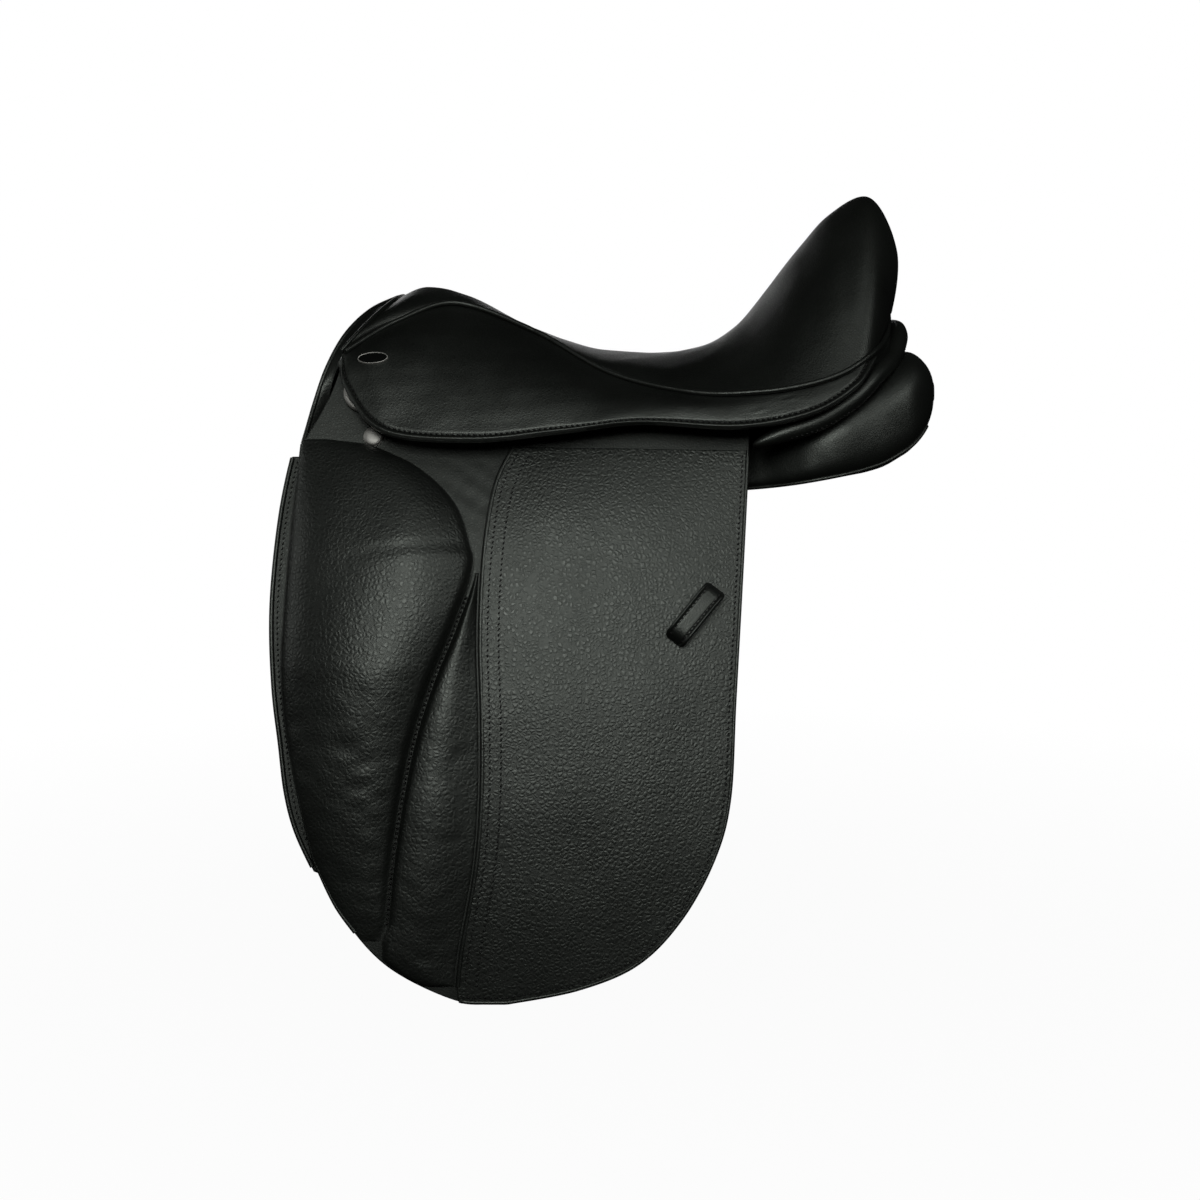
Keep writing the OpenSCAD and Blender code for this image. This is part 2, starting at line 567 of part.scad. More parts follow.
// Upper part of the flap, nailed to the tree point and hidden by the skirt behind the stud
root_top = 104;
root_strip = 54;
root_step_x = -156;
root_inset = 10;
root_outline = concat([[tab_x + bend_gap, tab_z + bend_gap],
        [tab_x + tab_slant + bend_gap, bend_z + bend_gap], [flap_rear, bend_z + bend_gap],
        [flap_rear, root_strip], [root_step_x, root_strip],
        [root_step_x - 4, root_top]],
    [for (p = within(side_points(sweat_front_knots, 40), tab_z + bend_gap, root_top)) p + [root_inset, 0]],
    [[-214, tab_z + bend_gap]]);
module flap_root(side) on_side(side) color(black_leather)
    difference() {
        rolled(flap_curve_r, flap_t, root_outline);
        on_flap(stud_x, stud_z) cylinder(r = nail_r + seat_gap, h = through, center = true);
    }

// Domed nail through the flap into the tree point
stud_rise = 4;
module flap_stud(side) on_side(side) color(nickel)
    on_flap(stud_x, stud_z, flap_curve_r + seat_gap) {
        intersection() {
            dome_r = (stud_r * stud_r + stud_rise * stud_rise) / (2 * stud_rise);
            translate([0, 0, stud_rise - dome_r]) sphere(r = dome_r);
            cylinder(r = 2 * stud_r, h = 2 * stud_rise);
        }
        nail_l = flap_curve_r - sweat_inner_r;
        translate([0, 0, -nail_l]) cylinder(r = nail_r, h = nail_l + stud_rise / 2);
    }

// Flap that lifts about the bend line
edge_room = 0.5;
bottom_front = within(side_points(flap_front_knots, 40), -2 * flap_drop, tab_z);
bottom_rear = within(side_points(flap_rear_knots, 40), -2 * flap_drop, bend_z - edge_room);
flap_outline = concat([[tab_x, tab_z], [tab_x + tab_slant, bend_z], [flap_rear, bend_z]], bottom_rear,
    reversed(bottom_front));
module flap(side) on_side(side) color(black_leather) rolled(flap_curve_r, flap_t, flap_outline);
overlay_foot = -101 * front_share;
overlay_outline = concat([[flap_rear, bend_z - 1]], bottom_rear,
    [for (p = reversed(bottom_front)) if (p.x > overlay_foot) p],
    reversed(side_points(overlay_front_knots, 24)));
module flap_overlay(side) on_side(side) color(grained_leather)
    rolled(overlay_inner_r + overlay_t, overlay_t, overlay_outline);

// Padded leaf on the flap: rows from z_top down to z_low between two side curves, standing out by rise
module pad(zs, front_at, rear_at, rise_at, cols) {
    base_r = flap_curve_r + seat_gap;
    shares = steps(0, 1, cols);
    rim = 0.8;
    sheet([for (u = shares) [for (z = reversed(zs)) on_roll(lerp(front_at(z), rear_at(z), u), z,
               base_r + rim + rise_at(u, z))]],
          [for (u = shares) [for (z = reversed(zs)) on_roll(lerp(front_at(z), rear_at(z), u), z, base_r)]]);
}
// Rows that crowd towards both ends
function crowded(high, low, count) = [for (k = [0:count]) lerp(high, low, (1 - cos(180 * k / count)) / 2)];
block_low = -306 * drop_share;
function front_edge(z) = curve_at(flap_front_knots, z);
function seam_edge(z) = curve_at(block_rear_knots, z);
function swell(u, v, sharp) = pow(max(4 * u * (1 - u), 0), sharp) * pow(max(4 * v * (1 - v), 0), 0.35);
module thigh_block(side) on_side(side) color(black_leather)
    pad(crowded(block_top, block_low, 20), function (z) front_edge(z), function (z) seam_edge(z),
        function (u, z) block_depth * swell(pow(u, 0.7), (block_top - z) / (block_top - block_low), 0.5), 9);
wedge_top = -50;
wedge_low = -338 * drop_share;
seam_gap = 1.5;
groove_w = 5;
function wedge_front(z) = max(seam_edge(max(z, block_low)), front_edge(z)) + seam_gap;
function wedge_rear(z) = curve_at(overlay_front_knots, z) - groove_w;
module block_wedge(side) on_side(side) color(black_leather)
    pad(crowded(wedge_top, wedge_low, 14), function (z) min(wedge_front(z), wedge_rear(z) - 1),
        function (z) wedge_rear(z),
        function (u, z) wedge_depth * swell(u, (wedge_top - z) / (wedge_top - wedge_low), 0.5), 6);

// Keeper for the stirrup leather: bowed strap sewn on the overlay at both ends
keeper_x = 69;
keeper_z = -79;
keeper_tilt = 52;
module keeper(side) on_side(side) color(black_leather)
    on_flap(keeper_x, keeper_z, overlay_inner_r + overlay_t + seat_gap) rotate([0, 0, keeper_tilt])
        rotate([90, 0, 0]) linear_extrude(keeper_w, center = true)
            difference() {
                keeper_bow(keeper_l / 2, keeper_rise + keeper_t);
                keeper_bow(keeper_l / 2 - keeper_t - 3, keeper_rise);
            }
module keeper_bow(half, rise) {
    bow_r = (half * half + rise * rise) / (2 * rise);
    intersection() {
        translate([0, rise - bow_r]) circle(r = bow_r, $fn = 96);
        translate([-2 * half, 0]) square([4 * half, 2 * rise]);
    }
}

// Oval button on the skirt
button_t = 1.6;
button_row = 1.3;
button_share = 0.38;
module skirt_button(side) on_side(side) color(nickel) {
    here = skirt_point(button_row, button_share, -seat_gap);
    out = unit(here - skirt_point(button_row, button_share, 1));
    run = unit([1, 0, 0] - out * out.x);
    up = cross(out, run);
    multmatrix([for (k = [0:2]) [run[k], up[k], out[k], here[k]]]) linear_extrude(button_t) {
        square([button_l - button_h, button_h], center = true);
        for (m = [-1, 1]) translate([m * (button_l - button_h) / 2, 0]) circle(d = button_h);
    }
}

// Stirrup bar: plate riveted to the tree point, with the bar standing off it and open to the rear
bar_front_x = -142;
bar_foot = 12;
plate_front_x = -178;
bar_plate_t = 4;
bar_plate_h = bar_h + 6;
bar_base = sweat_inner_r + seat_gap - flap_curve_r;
bar_level = bar_base + bar_plate_t + bar_room;
catch_x = bar_front_x + bar_l;
catch_l = 18;
lap_t = bar_t / 2;
bar_rivet_xs = [-170, -158];
bar_rivet_head = 1.2;
bar_rivet_head_r = 1.6 * rivet_r;
module bar_slab(from, to, low, thick, height)
    translate([from, -height / 2, low]) cube([to - from, height, thick]);
module stirrup_bar(side) on_side(side) color(steel)
    on_flap(0, bar_z) difference() {
        union() {
            bar_slab(plate_front_x, catch_x + 6, bar_base, bar_plate_t, bar_plate_h);
            bar_slab(bar_front_x - bar_foot, bar_front_x, bar_base, bar_level - bar_base + bar_t, bar_h);
            bar_slab(bar_front_x - 1, catch_x - bar_h / 2 - seat_gap, bar_level, bar_t, bar_h);
            bar_slab(catch_x - bar_h, catch_x, bar_level, lap_t - seat_gap, bar_h);
            translate([catch_x, 0, bar_level]) cylinder(d = bar_h, h = lap_t - seat_gap);
        }
        translate([catch_x, 0, bar_level - 1]) cylinder(r = pin_r + run_gap, h = bar_t);
        for (x = bar_rivet_xs) translate([x, 0, 0])
            cylinder(r = rivet_r + run_gap, h = through, center = true);
    }
module catch_pin(side) on_side(side) color(steel)
    on_flap(catch_x, bar_z) translate([0, 0, bar_level]) cylinder(r = pin_r, h = bar_t);
module bar_catch(side) on_side(side) color(nickel)
    on_flap(catch_x, bar_z) translate([0, 0, bar_level]) difference() {
        union() {
            translate([0, 0, lap_t]) cylinder(d = bar_h, h = bar_t - lap_t);
            translate([0, -bar_h / 2, lap_t]) cube([catch_l - bar_h / 2, bar_h, bar_t - lap_t]);
            translate([bar_h / 2, -bar_h / 2, 0]) cube([catch_l - bar_h, bar_h, bar_t]);
            translate([catch_l - bar_h / 2, 0, 0]) cylinder(d = bar_h, h = bar_t);
        }
        translate([0, 0, -1]) cylinder(r = bar_h / 2 + seat_gap, h = lap_t + 1);
        cylinder(r = pin_r + run_gap, h = 3 * bar_t, center = true);
    }
module bar_rivets() color(steel)
    for (side = [left, right]) on_side(side) on_flap(0, bar_z) for (x = bar_rivet_xs) {
        translate([x, 0, bar_base - seat_gap - head_t])
            cylinder(r = rivet_r, h = head_t + seat_gap + bar_plate_t);
        translate([x, 0, bar_base + bar_plate_t]) cylinder(r = bar_rivet_head_r, h = bar_rivet_head);
    }

// Dee at the front of the flap, and the chape that carries it
dee_x = -171;
dee_z = 86;
dee_turn = 37;
dee_back = 6;
chape_w = 9;
chape_l = 12;
chape_t = 2;
dee_level = chape_t + dee_wire_r + seat_gap;
module dee_place() on_flap(dee_x, dee_z, flap_curve_r + seat_gap)
    rotate([0, 0, dee_turn]) translate([0, 0, dee_level]) children();
dee_elbow = 3;
dee_tip = 0.6;
dee_bend = concat(
    [for (a = steps(0, 90, 4)) [dee_elbow * (cos(a) - 1), dee_r + dee_elbow * (sin(a) - 1), 0]],
    [for (a = steps(90, 270, 18)) [dee_r * cos(a) - dee_back, dee_r * sin(a), 0]],
    [for (a = steps(270, 360, 4)) [dee_elbow * (cos(a) - 1), -dee_r + dee_elbow * (sin(a) + 1), 0]]);
dee_path = concat([[0, dee_r - 2 * dee_elbow, 0]], dee_bend, [[0, 2 * dee_elbow - dee_r, 0]]);
module dee(side) on_side(side) color(nickel) dee_place() {
    rotate([90, 0, 0]) cylinder(r = dee_wire_r, h = 2 * (dee_r - dee_elbow), center = true);
    last = len(dee_path) - 1;
    cord(dee_path, [for (k = [0:last]) k == 0 || k == last ? dee_tip * dee_wire_r : dee_wire_r], 12);
}
module dee_chape(side) on_side(side) color(black_leather) dee_place() difference() {
    union() {
        rotate([90, 0, 0]) cylinder(r = dee_wire_r + chape_t, h = chape_w, center = true);
        translate([0, -chape_w / 2, -dee_wire_r - chape_t]) cube([chape_l, chape_w, chape_t + dee_wire_r]);
    }
    rotate([90, 0, 0]) cylinder(r = dee_wire_r + run_gap, h = 2 * chape_w, center = true);
}

// Girth straps and the webs over the tree that carry them
billet_r = sweat_outer_r + (girth_room + billet_t) / 2;
billet_pivot_z = 30;
billet_point = 14;
billet_first = billet_drop - 24;
function strap_z(s) = billet_pivot_z + s * cos(slope_at(billet_pivot_z));
function billet_outline(x) = concat(
    [for (a = steps(0, 180, 12)) [x + billet_w / 2 * cos(a), strap_z(billet_w / 2 * sin(a))]],
    [[x - billet_w / 2, -billet_drop + billet_point], [x - billet_w / 5, -billet_drop],
     [x + billet_w / 5, -billet_drop], [x + billet_w / 2, -billet_drop + billet_point]]);
module billet(side, x) on_side(side) color(black_leather) difference() {
    rolled(billet_r, billet_t, billet_outline(x));
    for (k = [0:billet_holes - 1])
        on_flap(x, -billet_first + k * billet_pitch) cylinder(r = billet_hole_r, h = through, center = true);
}
web_w = 36;
web_t = 2;
web_foot = 10;
web_clear = [-3, 5];
module billet_web(x) color(web_grey) {
    inner_top = panel_corner(x, 1);
    outer_top = panel_corner(x, 2);
    mid_r = billet_r - billet_t / 2;
    low_z = strap_z(billet_w / 2) + edge_room;
    panel_top = max([for (m = [-1, 0, 1]) panel_corner(x + m * web_w / 2, 1).y]);
    crest = panel_top + lining_bow + seat_gap + web_t / 2;
    path = [[0, crest], [inner_top.x, crest - lining_bow / 3], outer_top + web_clear,
            [flap_y(low_z + web_foot, mid_r), low_z + web_foot], [flap_y(low_z, mid_r), low_z]];
    ways = [[-1, 0], for (k = [1:4]) unit(path[min(k + 1, 4)] - path[k - 1])];
    side = function (d) [for (k = [0:4]) path[k] + d * [-ways[k].y, ways[k].x]];
    translate([x + web_w / 2, 0, 0]) rotate([90, 0, -90]) linear_extrude(web_w)
        polygon(across(side(web_t / 2), side(-web_t / 2)));
}

tree_head();
head_plate();
gullet_plate();
head_rivets();
tree_rails();
rail_spring(left);  // left_spring
rail_spring(right);  // right_spring
seat_webs();
seat_foam();
seat_cover();
seat_welt(left);  // left_welt
seat_welt(right);  // right_welt
head_facing();
gullet_lining();
cantle_roll();
panel(left);  // left_panel
panel(right);  // right_panel
sweat_flap(left);  // left_sweat_flap
sweat_flap(right);  // right_sweat_flap
point_pocket(left);  // left_point_pocket
point_pocket(right);  // right_point_pocket
flap_root(left);  // left_flap_root
flap_root(right);  // right_flap_root
flap_stud(left);  // left_flap_stud
flap_stud(right);  // right_flap_stud
skirt_top(left);  // left_skirt_top
skirt_top(right);  // right_skirt_top
skirt_button(left);  // left_skirt_button
skirt_button(right);  // right_skirt_button
stirrup_bar(left);  // left_stirrup_bar
stirrup_bar(right);  // right_stirrup_bar
bar_rivets();
catch_pin(left);  // left_catch_pin
catch_pin(right);  // right_catch_pin
dee_chape(left);  // left_dee_chape
dee_chape(right);  // right_dee_chape
billet_web(front_billet_x);  // front_billet_web
billet_web(rear_billet_x);  // rear_billet_web
flap(left);  // left_flap
flap(right);  // right_flap
flap_overlay(left);  // left_flap_overlay
flap_overlay(right);  // right_flap_overlay
thigh_block(left);  // left_thigh_block
thigh_block(right);  // right_thigh_block
block_wedge(left);  // left_block_wedge
block_wedge(right);  // right_block_wedge
keeper(left);  // left_keeper
keeper(right);  // right_keeper
skirt(left);  // left_skirt
skirt(right);  // right_skirt
bar_catch(left);  // left_bar_catch
bar_catch(right);  // right_bar_catch
dee(left);  // left_dee
dee(right);  // right_dee
billet(left, front_billet_x);  // left_front_billet
billet(right, front_billet_x);  // right_front_billet
billet(left, rear_billet_x);  // left_rear_billet
billet(right, rear_billet_x);  // right_rear_billet
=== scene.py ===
import math
import bpy
import bmesh
import numpy as np
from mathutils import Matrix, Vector
from mathutils.geometry import delaunay_2d_cdt


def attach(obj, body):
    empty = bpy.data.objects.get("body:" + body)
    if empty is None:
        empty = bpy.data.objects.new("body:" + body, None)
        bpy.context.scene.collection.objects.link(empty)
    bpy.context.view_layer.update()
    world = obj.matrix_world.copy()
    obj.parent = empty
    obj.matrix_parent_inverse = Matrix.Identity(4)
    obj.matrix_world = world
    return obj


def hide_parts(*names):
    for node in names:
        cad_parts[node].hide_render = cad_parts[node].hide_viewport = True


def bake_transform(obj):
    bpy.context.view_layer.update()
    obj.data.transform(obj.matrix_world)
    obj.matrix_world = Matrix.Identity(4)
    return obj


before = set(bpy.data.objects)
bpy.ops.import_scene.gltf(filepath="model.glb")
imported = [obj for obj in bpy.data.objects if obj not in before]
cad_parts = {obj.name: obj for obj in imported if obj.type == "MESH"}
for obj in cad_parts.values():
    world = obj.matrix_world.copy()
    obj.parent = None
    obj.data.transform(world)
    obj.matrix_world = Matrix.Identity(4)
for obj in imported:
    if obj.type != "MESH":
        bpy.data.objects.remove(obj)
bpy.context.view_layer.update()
scene = bpy.context.scene
scene.view_settings.view_transform = "Standard"

# Studio: a dark floor that the camera sees as white, a white ground, and soft lamps, the strongest in front.
# The camera stands 1.5 m off on the near side, 6 degrees above the level, with a lens of about 55 mm.
MM = 0.001
AIM = Vector((0, 0, -84)) * MM
LIFT = math.radians(6)
photo_lens = bpy.data.cameras.new("photo_camera")
photo_lens.sensor_width = 36
photo_lens.lens = 36 * 1829 / 1200
camera = bpy.data.objects.new("photo_camera", photo_lens)
camera.location = AIM + 1.5 * Vector((0, -math.cos(LIFT), math.sin(LIFT)))
camera.rotation_euler = (AIM - camera.location).to_track_quat("-Z", "Y").to_euler()
scene.collection.objects.link(camera)
scene.camera = camera


def linear(hex_colour):
    """sRGB hex colour as linear red, green, blue and alpha."""
    parts = [int(hex_colour[k:k + 2], 16) / 255 for k in (1, 3, 5)]
    return [p / 12.92 if p <= 0.04045 else ((p + 0.055) / 1.055) ** 2.4 for p in parts] + [1]


def add(tree, kind, values={}, links={}):
    """Adds a shader node, with its settings and the outputs that feed its inputs."""
    made = tree.nodes.new("ShaderNode" + kind)
    for name, value in values.items():
        if isinstance(name, str) and hasattr(made, name):
            setattr(made, name, value)
        else:
            made.inputs[name].default_value = value
    for name, source in links.items():
        tree.links.new(source, made.inputs[name])
    return made


def blank(name):
    """New material with an empty node tree."""
    made = bpy.data.materials.new(name)
    made.use_nodes = True
    made.node_tree.nodes.clear()
    return made, made.node_tree


# The camera sees plain white; the room that shows in the saddle's gloss is dim in front and dark behind
world = bpy.data.worlds.new("white_studio")
world.use_nodes = True
world.node_tree.nodes.clear()
seen = add(world.node_tree, "LightPath")
plain = add(world.node_tree, "Math", {"operation": "MAXIMUM"},
            {0: seen.outputs["Is Camera Ray"], 1: seen.outputs["Is Transmission Ray"]})
way = add(world.node_tree, "TexCoord")
split = add(world.node_tree, "SeparateXYZ", {}, {0: way.outputs["Generated"]})
level = add(world.node_tree, "MapRange", {"From Min": -1, "From Max": 0.15, "To Min": 0.02, "To Max": 0.004},
            {"Value": split.outputs["Y"]})
dim = add(world.node_tree, "Background", {"Color": linear("#ffffff")}, {"Strength": level.outputs[0]})
white = add(world.node_tree, "Background", {"Color": linear("#ffffff"), "Strength": 1})
both = add(world.node_tree, "MixShader", {}, {0: plain.outputs[0], 1: dim.outputs[0], 2: white.outputs[0]})
add(world.node_tree, "OutputWorld", {}, {"Surface": both.outputs[0]})
scene.world = world

# Matt dark floor: it throws little light up, and shows the camera white, with a faint shadow by the saddle
floor_paint, tree = blank("matt_studio_floor")
seen = add(tree, "LightPath")
matt = add(tree, "BsdfDiffuse", {"Color": linear("#2c2c2b")})
glow = add(tree, "Emission", {"Color": linear("#ffffff"), "Strength": 1})
spot = add(tree, "TexCoord")
far = add(tree, "VectorMath", {"operation": "LENGTH"}, {0: spot.outputs["Object"]})
clear = add(tree, "MapRange", {"From Min": 0.35, "From Max": 1.2, "To Min": 0.96},
            {"Value": far.outputs["Value"]})
share = add(tree, "Math", {"operation": "MULTIPLY"}, {0: clear.outputs[0], 1: seen.outputs["Is Camera Ray"]})
both = add(tree, "MixShader", {}, {0: share.outputs[0], 1: matt.outputs[0], 2: glow.outputs[0]})
add(tree, "OutputMaterial", {}, {"Surface": both.outputs[0]})
FLOOR_Z, FLOOR_HALF = -356, 6000
floor_corners = [(x * FLOOR_HALF * MM, y * FLOOR_HALF * MM, FLOOR_Z * MM)
                 for x, y in ((-1, -1), (1, -1), (1, 1), (-1, 1))]
floor_mesh = bpy.data.meshes.new("studio_floor")
floor_mesh.from_pydata(floor_corners, [], [(0, 1, 2, 3)])
floor_mesh.materials.append(floor_paint)
floor = bpy.data.objects.new("studio_floor", floor_mesh)
scene.collection.objects.link(floor)

# Soft boxes, each with its place, size in metres and power in watts
for name, place, size, power in (
        ("front_box", (-0.22, -1.75, 0.74), 0.7, 14), ("fill_box", (0.30, -1.75, 0.74), 0.7, 4.5),
        ("right_box", (1.30, -1.20, 1.00), 0.7, 6.5), ("high_box", (0.35, -0.95, 1.35), 0.7, 1.5),
        ("left_box", (-1.70, -0.20, 0.50), 0.8, 3), ("corner_box", (-0.80, 1.20, 0.50), 0.8, 3.3),
        ("back_box", (0.15, 1.50, 0.40), 0.5, 1.0)):
    lamp = bpy.data.lights.new(name, "AREA")
    lamp.size = size
    lamp.energy = power
    box = bpy.data.objects.new(name, lamp)
    box.location = place
    box.rotation_euler = (Vector((0, 0, 0)) - box.location).to_track_quat("-Z", "Y").to_euler()
    scene.collection.objects.link(box)

# Tree: a laminated beech head arch and rails bent round the cantle, with forged steel plates and springs.
# The plates are riveted through the head. All of it lies hidden under the leather.

# Laminated beech: warm brown, with thin dark glue lines 1.2 mm apart along the bend
beech, tree = blank("laminated_beech")
place = add(tree, "TexCoord")
layers = add(tree, "TexWave",
             {"bands_direction": "Z", "Scale": math.tau / (20 * 1.2 * MM), "Distortion": 2, "Detail": 3},
             {"Vector": place.outputs["Object"]})
tone = add(tree, "ValToRGB", {}, {"Fac": layers.outputs["Fac"]})
tone.color_ramp.elements[0].color = linear("#a67c4d")
tone.color_ramp.elements[1].color = linear("#c79f6d")
fibre = add(tree, "TexNoise", {"Scale": 1 / (3 * MM), "Detail": 5}, {"Vector": place.outputs["Object"]})
relief = add(tree, "Bump", {"Strength": 0.3, "Distance": 0.2 * MM}, {"Height": fibre.outputs["Fac"]})
wood = add(tree, "BsdfPrincipled", {"Roughness": 0.55, "IOR": 1.5},
           {"Base Color": tone.outputs["Color"], "Normal": relief.outputs["Normal"]})
add(tree, "OutputMaterial", {}, {"Surface": wood.outputs[0]})

# Forged steel, zinc plated: grey and dull, with hammer and scale marks 4 mm wide
forged_steel, tree = blank("forged_steel_plated")
place = add(tree, "TexCoord")
marks = add(tree, "TexNoise", {"Scale": 1 / (4 * MM), "Detail": 4}, {"Vector": place.outputs["Object"]})
tone = add(tree, "ValToRGB", {}, {"Fac": marks.outputs["Fac"]})
tone.color_ramp.elements[0].color = linear("#6f7276")
tone.color_ramp.elements[1].color = linear("#9a9da1")
dull = add(tree, "MapRange", {"To Min": 0.32, "To Max": 0.5}, {"Value": marks.outputs["Fac"]})
relief = add(tree, "Bump", {"Strength": 0.25, "Distance": 0.15 * MM}, {"Height": marks.outputs["Fac"]})
steel = add(tree, "BsdfPrincipled", {"Metallic": 1},
            {"Base Color": tone.outputs["Color"], "Roughness": dull.outputs[0],
             "Normal": relief.outputs["Normal"]})
add(tree, "OutputMaterial", {}, {"Surface": steel.outputs[0]})


def dress(material, *names):
    """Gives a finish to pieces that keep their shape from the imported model."""
    for name in names:
        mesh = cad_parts[name].data
        mesh.materials.clear()
        mesh.materials.append(material)


dress(beech, "tree_head", "tree_rails")
dress(forged_steel, "head_plate", "gullet_plate", "head_rivets", "left_spring", "right_spring", "bar_rivets",
      "left_stirrup_bar", "right_stirrup_bar", "left_catch_pin", "right_catch_pin")

# Webs: woven nylon straps that carry the foam and the girth straps over the tree.
# They are nailed to the tree and lie flat under the seat.

# Nylon webbing: grey-black yarn in a plain weave, 2 mm from rib to rib
nylon_web, tree = blank("nylon_webbing")
place = add(tree, "TexCoord")
ribs = add(tree, "TexWave", {"bands_direction": "X", "Scale": math.tau / (20 * 2 * MM)},
           {"Vector": place.outputs["Object"]})
cross = add(tree, "TexWave", {"bands_direction": "Y", "Scale": math.tau / (20 * 1 * MM)},
            {"Vector": place.outputs["Object"]})
weave = add(tree, "Math", {"operation": "MULTIPLY"}, {0: ribs.outputs["Fac"], 1: cross.outputs["Fac"]})
tone = add(tree, "ValToRGB", {}, {"Fac": weave.outputs[0]})
tone.color_ramp.elements[0].color = linear("#2c2c2a")
tone.color_ramp.elements[1].color = linear("#5a5a55")
relief = add(tree, "Bump", {"Strength": 0.6, "Distance": 0.5 * MM}, {"Height": weave.outputs[0]})
yarn = add(tree, "BsdfPrincipled", {"Roughness": 0.75, "Sheen Weight": 0.3},
           {"Base Color": tone.outputs["Color"], "Normal": relief.outputs["Normal"]})
add(tree, "OutputMaterial", {}, {"Surface": yarn.outputs[0]})
dress(nylon_web, "seat_webs", "front_billet_web", "rear_billet_web")

# Foam: one moulded sheet under the seat leather, glued to the webs.
# It is cut away ahead of the pommel, ends over the top of the cantle, and is skived thin along the welts.
FRONT_REACH, REAR_REACH = 193, 239
POMMEL_Z, DIP_Z, CANTLE_Z = 169, 118.5, 240
SEAT_HALF = 138
# Crown place and height, welt place, half width and height in percent, and how sharply the side falls
SEAT_ROWS = np.array([
    [-81, 86, -100, 78, -7, 1.5], [-71, 100, -82, 55, 39, 1.4], [-54, 86, -58, 38, 70, 1.3],
    [-25, 31, -25, 49, 25, 1.3], [4, 0, 4, 72, -16, 1.5], [29, 1, 29, 92, -28, 1.7],
    [46, 17, 49, 100, -28, 1.9], [65, 63, 65, 100, -23, 2.1], [77, 89, 76, 96, -15, 2.1],
    [90, 100, 85.5, 83, -2, 1.8], [99, 67, 91, 54, 8, 1.35], [98.5, 27.5, 97.5, 7, 23.5, 1]])
SEAT_LAST = len(SEAT_ROWS) - 1


def along_x(share):
    """Place along the seat from a share in percent, ahead of the dip or behind it."""
    return share / 100 * np.where(share < 0, FRONT_REACH, REAR_REACH)


def height(share, x_share):
    """Height from a share in percent of the rise from the dip to the pommel or the cantle."""
    return DIP_Z + share / 100 * (np.where(x_share < 0, POMMEL_Z, CANTLE_Z) - DIP_Z)


def spline(knots, t):
    """Smooth curve through the knots, at places counted in knots."""
    knots, t = np.asarray(knots, float), np.asarray(t, float)
    last = len(knots) - 1
    i = np.clip(np.floor(t).astype(int), 0, last - 1)
    f = t - i if knots.ndim == 1 else (t - i)[..., None]
    a, b, c, d = knots[np.maximum(i - 1, 0)], knots[i], knots[i + 1], knots[np.minimum(i + 2, last)]
    return b + 0.5 * f * (c - a + f * (2 * a - 5 * b + 4 * c - d + f * (3 * (b - c) + d - a)))


def unit(v):
    """Vectors of length one."""
    return v / np.maximum(np.linalg.norm(v, axis=-1, keepdims=True), 1e-9)


CROWN = np.stack([along_x(SEAT_ROWS[:, 0]), 0 * SEAT_ROWS[:, 0], height(SEAT_ROWS[:, 1], SEAT_ROWS[:, 0])], 1)
WELT = np.stack([along_x(SEAT_ROWS[:, 2]), -SEAT_HALF * SEAT_ROWS[:, 3] / 100,
                 height(SEAT_ROWS[:, 4], SEAT_ROWS[:, 0])], 1)
CORE_REAR = 0.63 * REAR_REACH


def draw_in(w):
    """Way in which a layer under the leather draws in from the welt."""
    x = np.clip(w[..., 0], -FRONT_REACH, CORE_REAR) - w[..., 0]
    return unit(np.stack([x, -w[..., 1], 0 * x], -1))


def crown(t, depth):
    """Points of the seat's middle line at stations t, depth mm below the leather's face."""
    way = unit(spline(CROWN, np.minimum(t + 0.02, SEAT_LAST)) - spline(CROWN, np.maximum(t - 0.02, 0)))
    return spline(CROWN, t) + depth * np.stack([way[..., 2], 0 * t, -way[..., 0]], -1)


def welt(t, depth=0.0):
    """Points of the seat's left edge at stations t, drawn in and down by depth."""
    w = spline(WELT, t)
    return w + depth * (draw_in(w) - [0, 0, 1])


def seat_grid(t, turn, depth):
    """Points of the seat at stations t, turned from the crown by -90 (left welt) to 90 degrees."""
    w, c = welt(t, depth)[:, None], crown(t, depth)[:, None]
    a = np.radians(turn)[None]
    rise = np.clip(np.cos(a), 0, 1) ** spline(SEAT_ROWS[:, 5], t)[:, None]
    return np.stack([w[..., 0] + (c - w)[..., 0] * rise, -w[..., 1] * np.sin(a),
                     w[..., 2] + (c - w)[..., 2] * rise], -1)


def ripple(points, size, seed, count=7):
    """Soft seeded unevenness from -1 to 1, with waves about size mm long."""
    dice = np.random.RandomState(seed)
    ways = dice.normal(size=(count, 3))
    ways *= (2 * np.pi / size * dice.uniform(0.6, 1.5, count) / np.linalg.norm(ways, axis=1))[:, None]
    return np.sin(points @ ways.T + dice.uniform(0, 7, count)).sum(-1) / count ** 0.5 / 1.6


def piece(name, points, faces, material, sharp=50):
    """New mesh piece from points in mm, with its faces turned outward and smooth below the sharp angle."""
    mesh = bpy.data.meshes.new(name)
    mesh.from_pydata((np.asarray(points, float).reshape(-1, 3) * MM).tolist(), [], faces)
    form = bmesh.new()
    form.from_mesh(mesh)
    bmesh.ops.recalc_face_normals(form, faces=form.faces)
    form.to_mesh(mesh)
    form.free()
    mesh.shade_smooth()
    mesh.set_sharp_from_angle(angle=math.radians(sharp))
    mesh.materials.append(material)
    made = bpy.data.objects.new(name, mesh)
    scene.collection.objects.link(made)
    return made


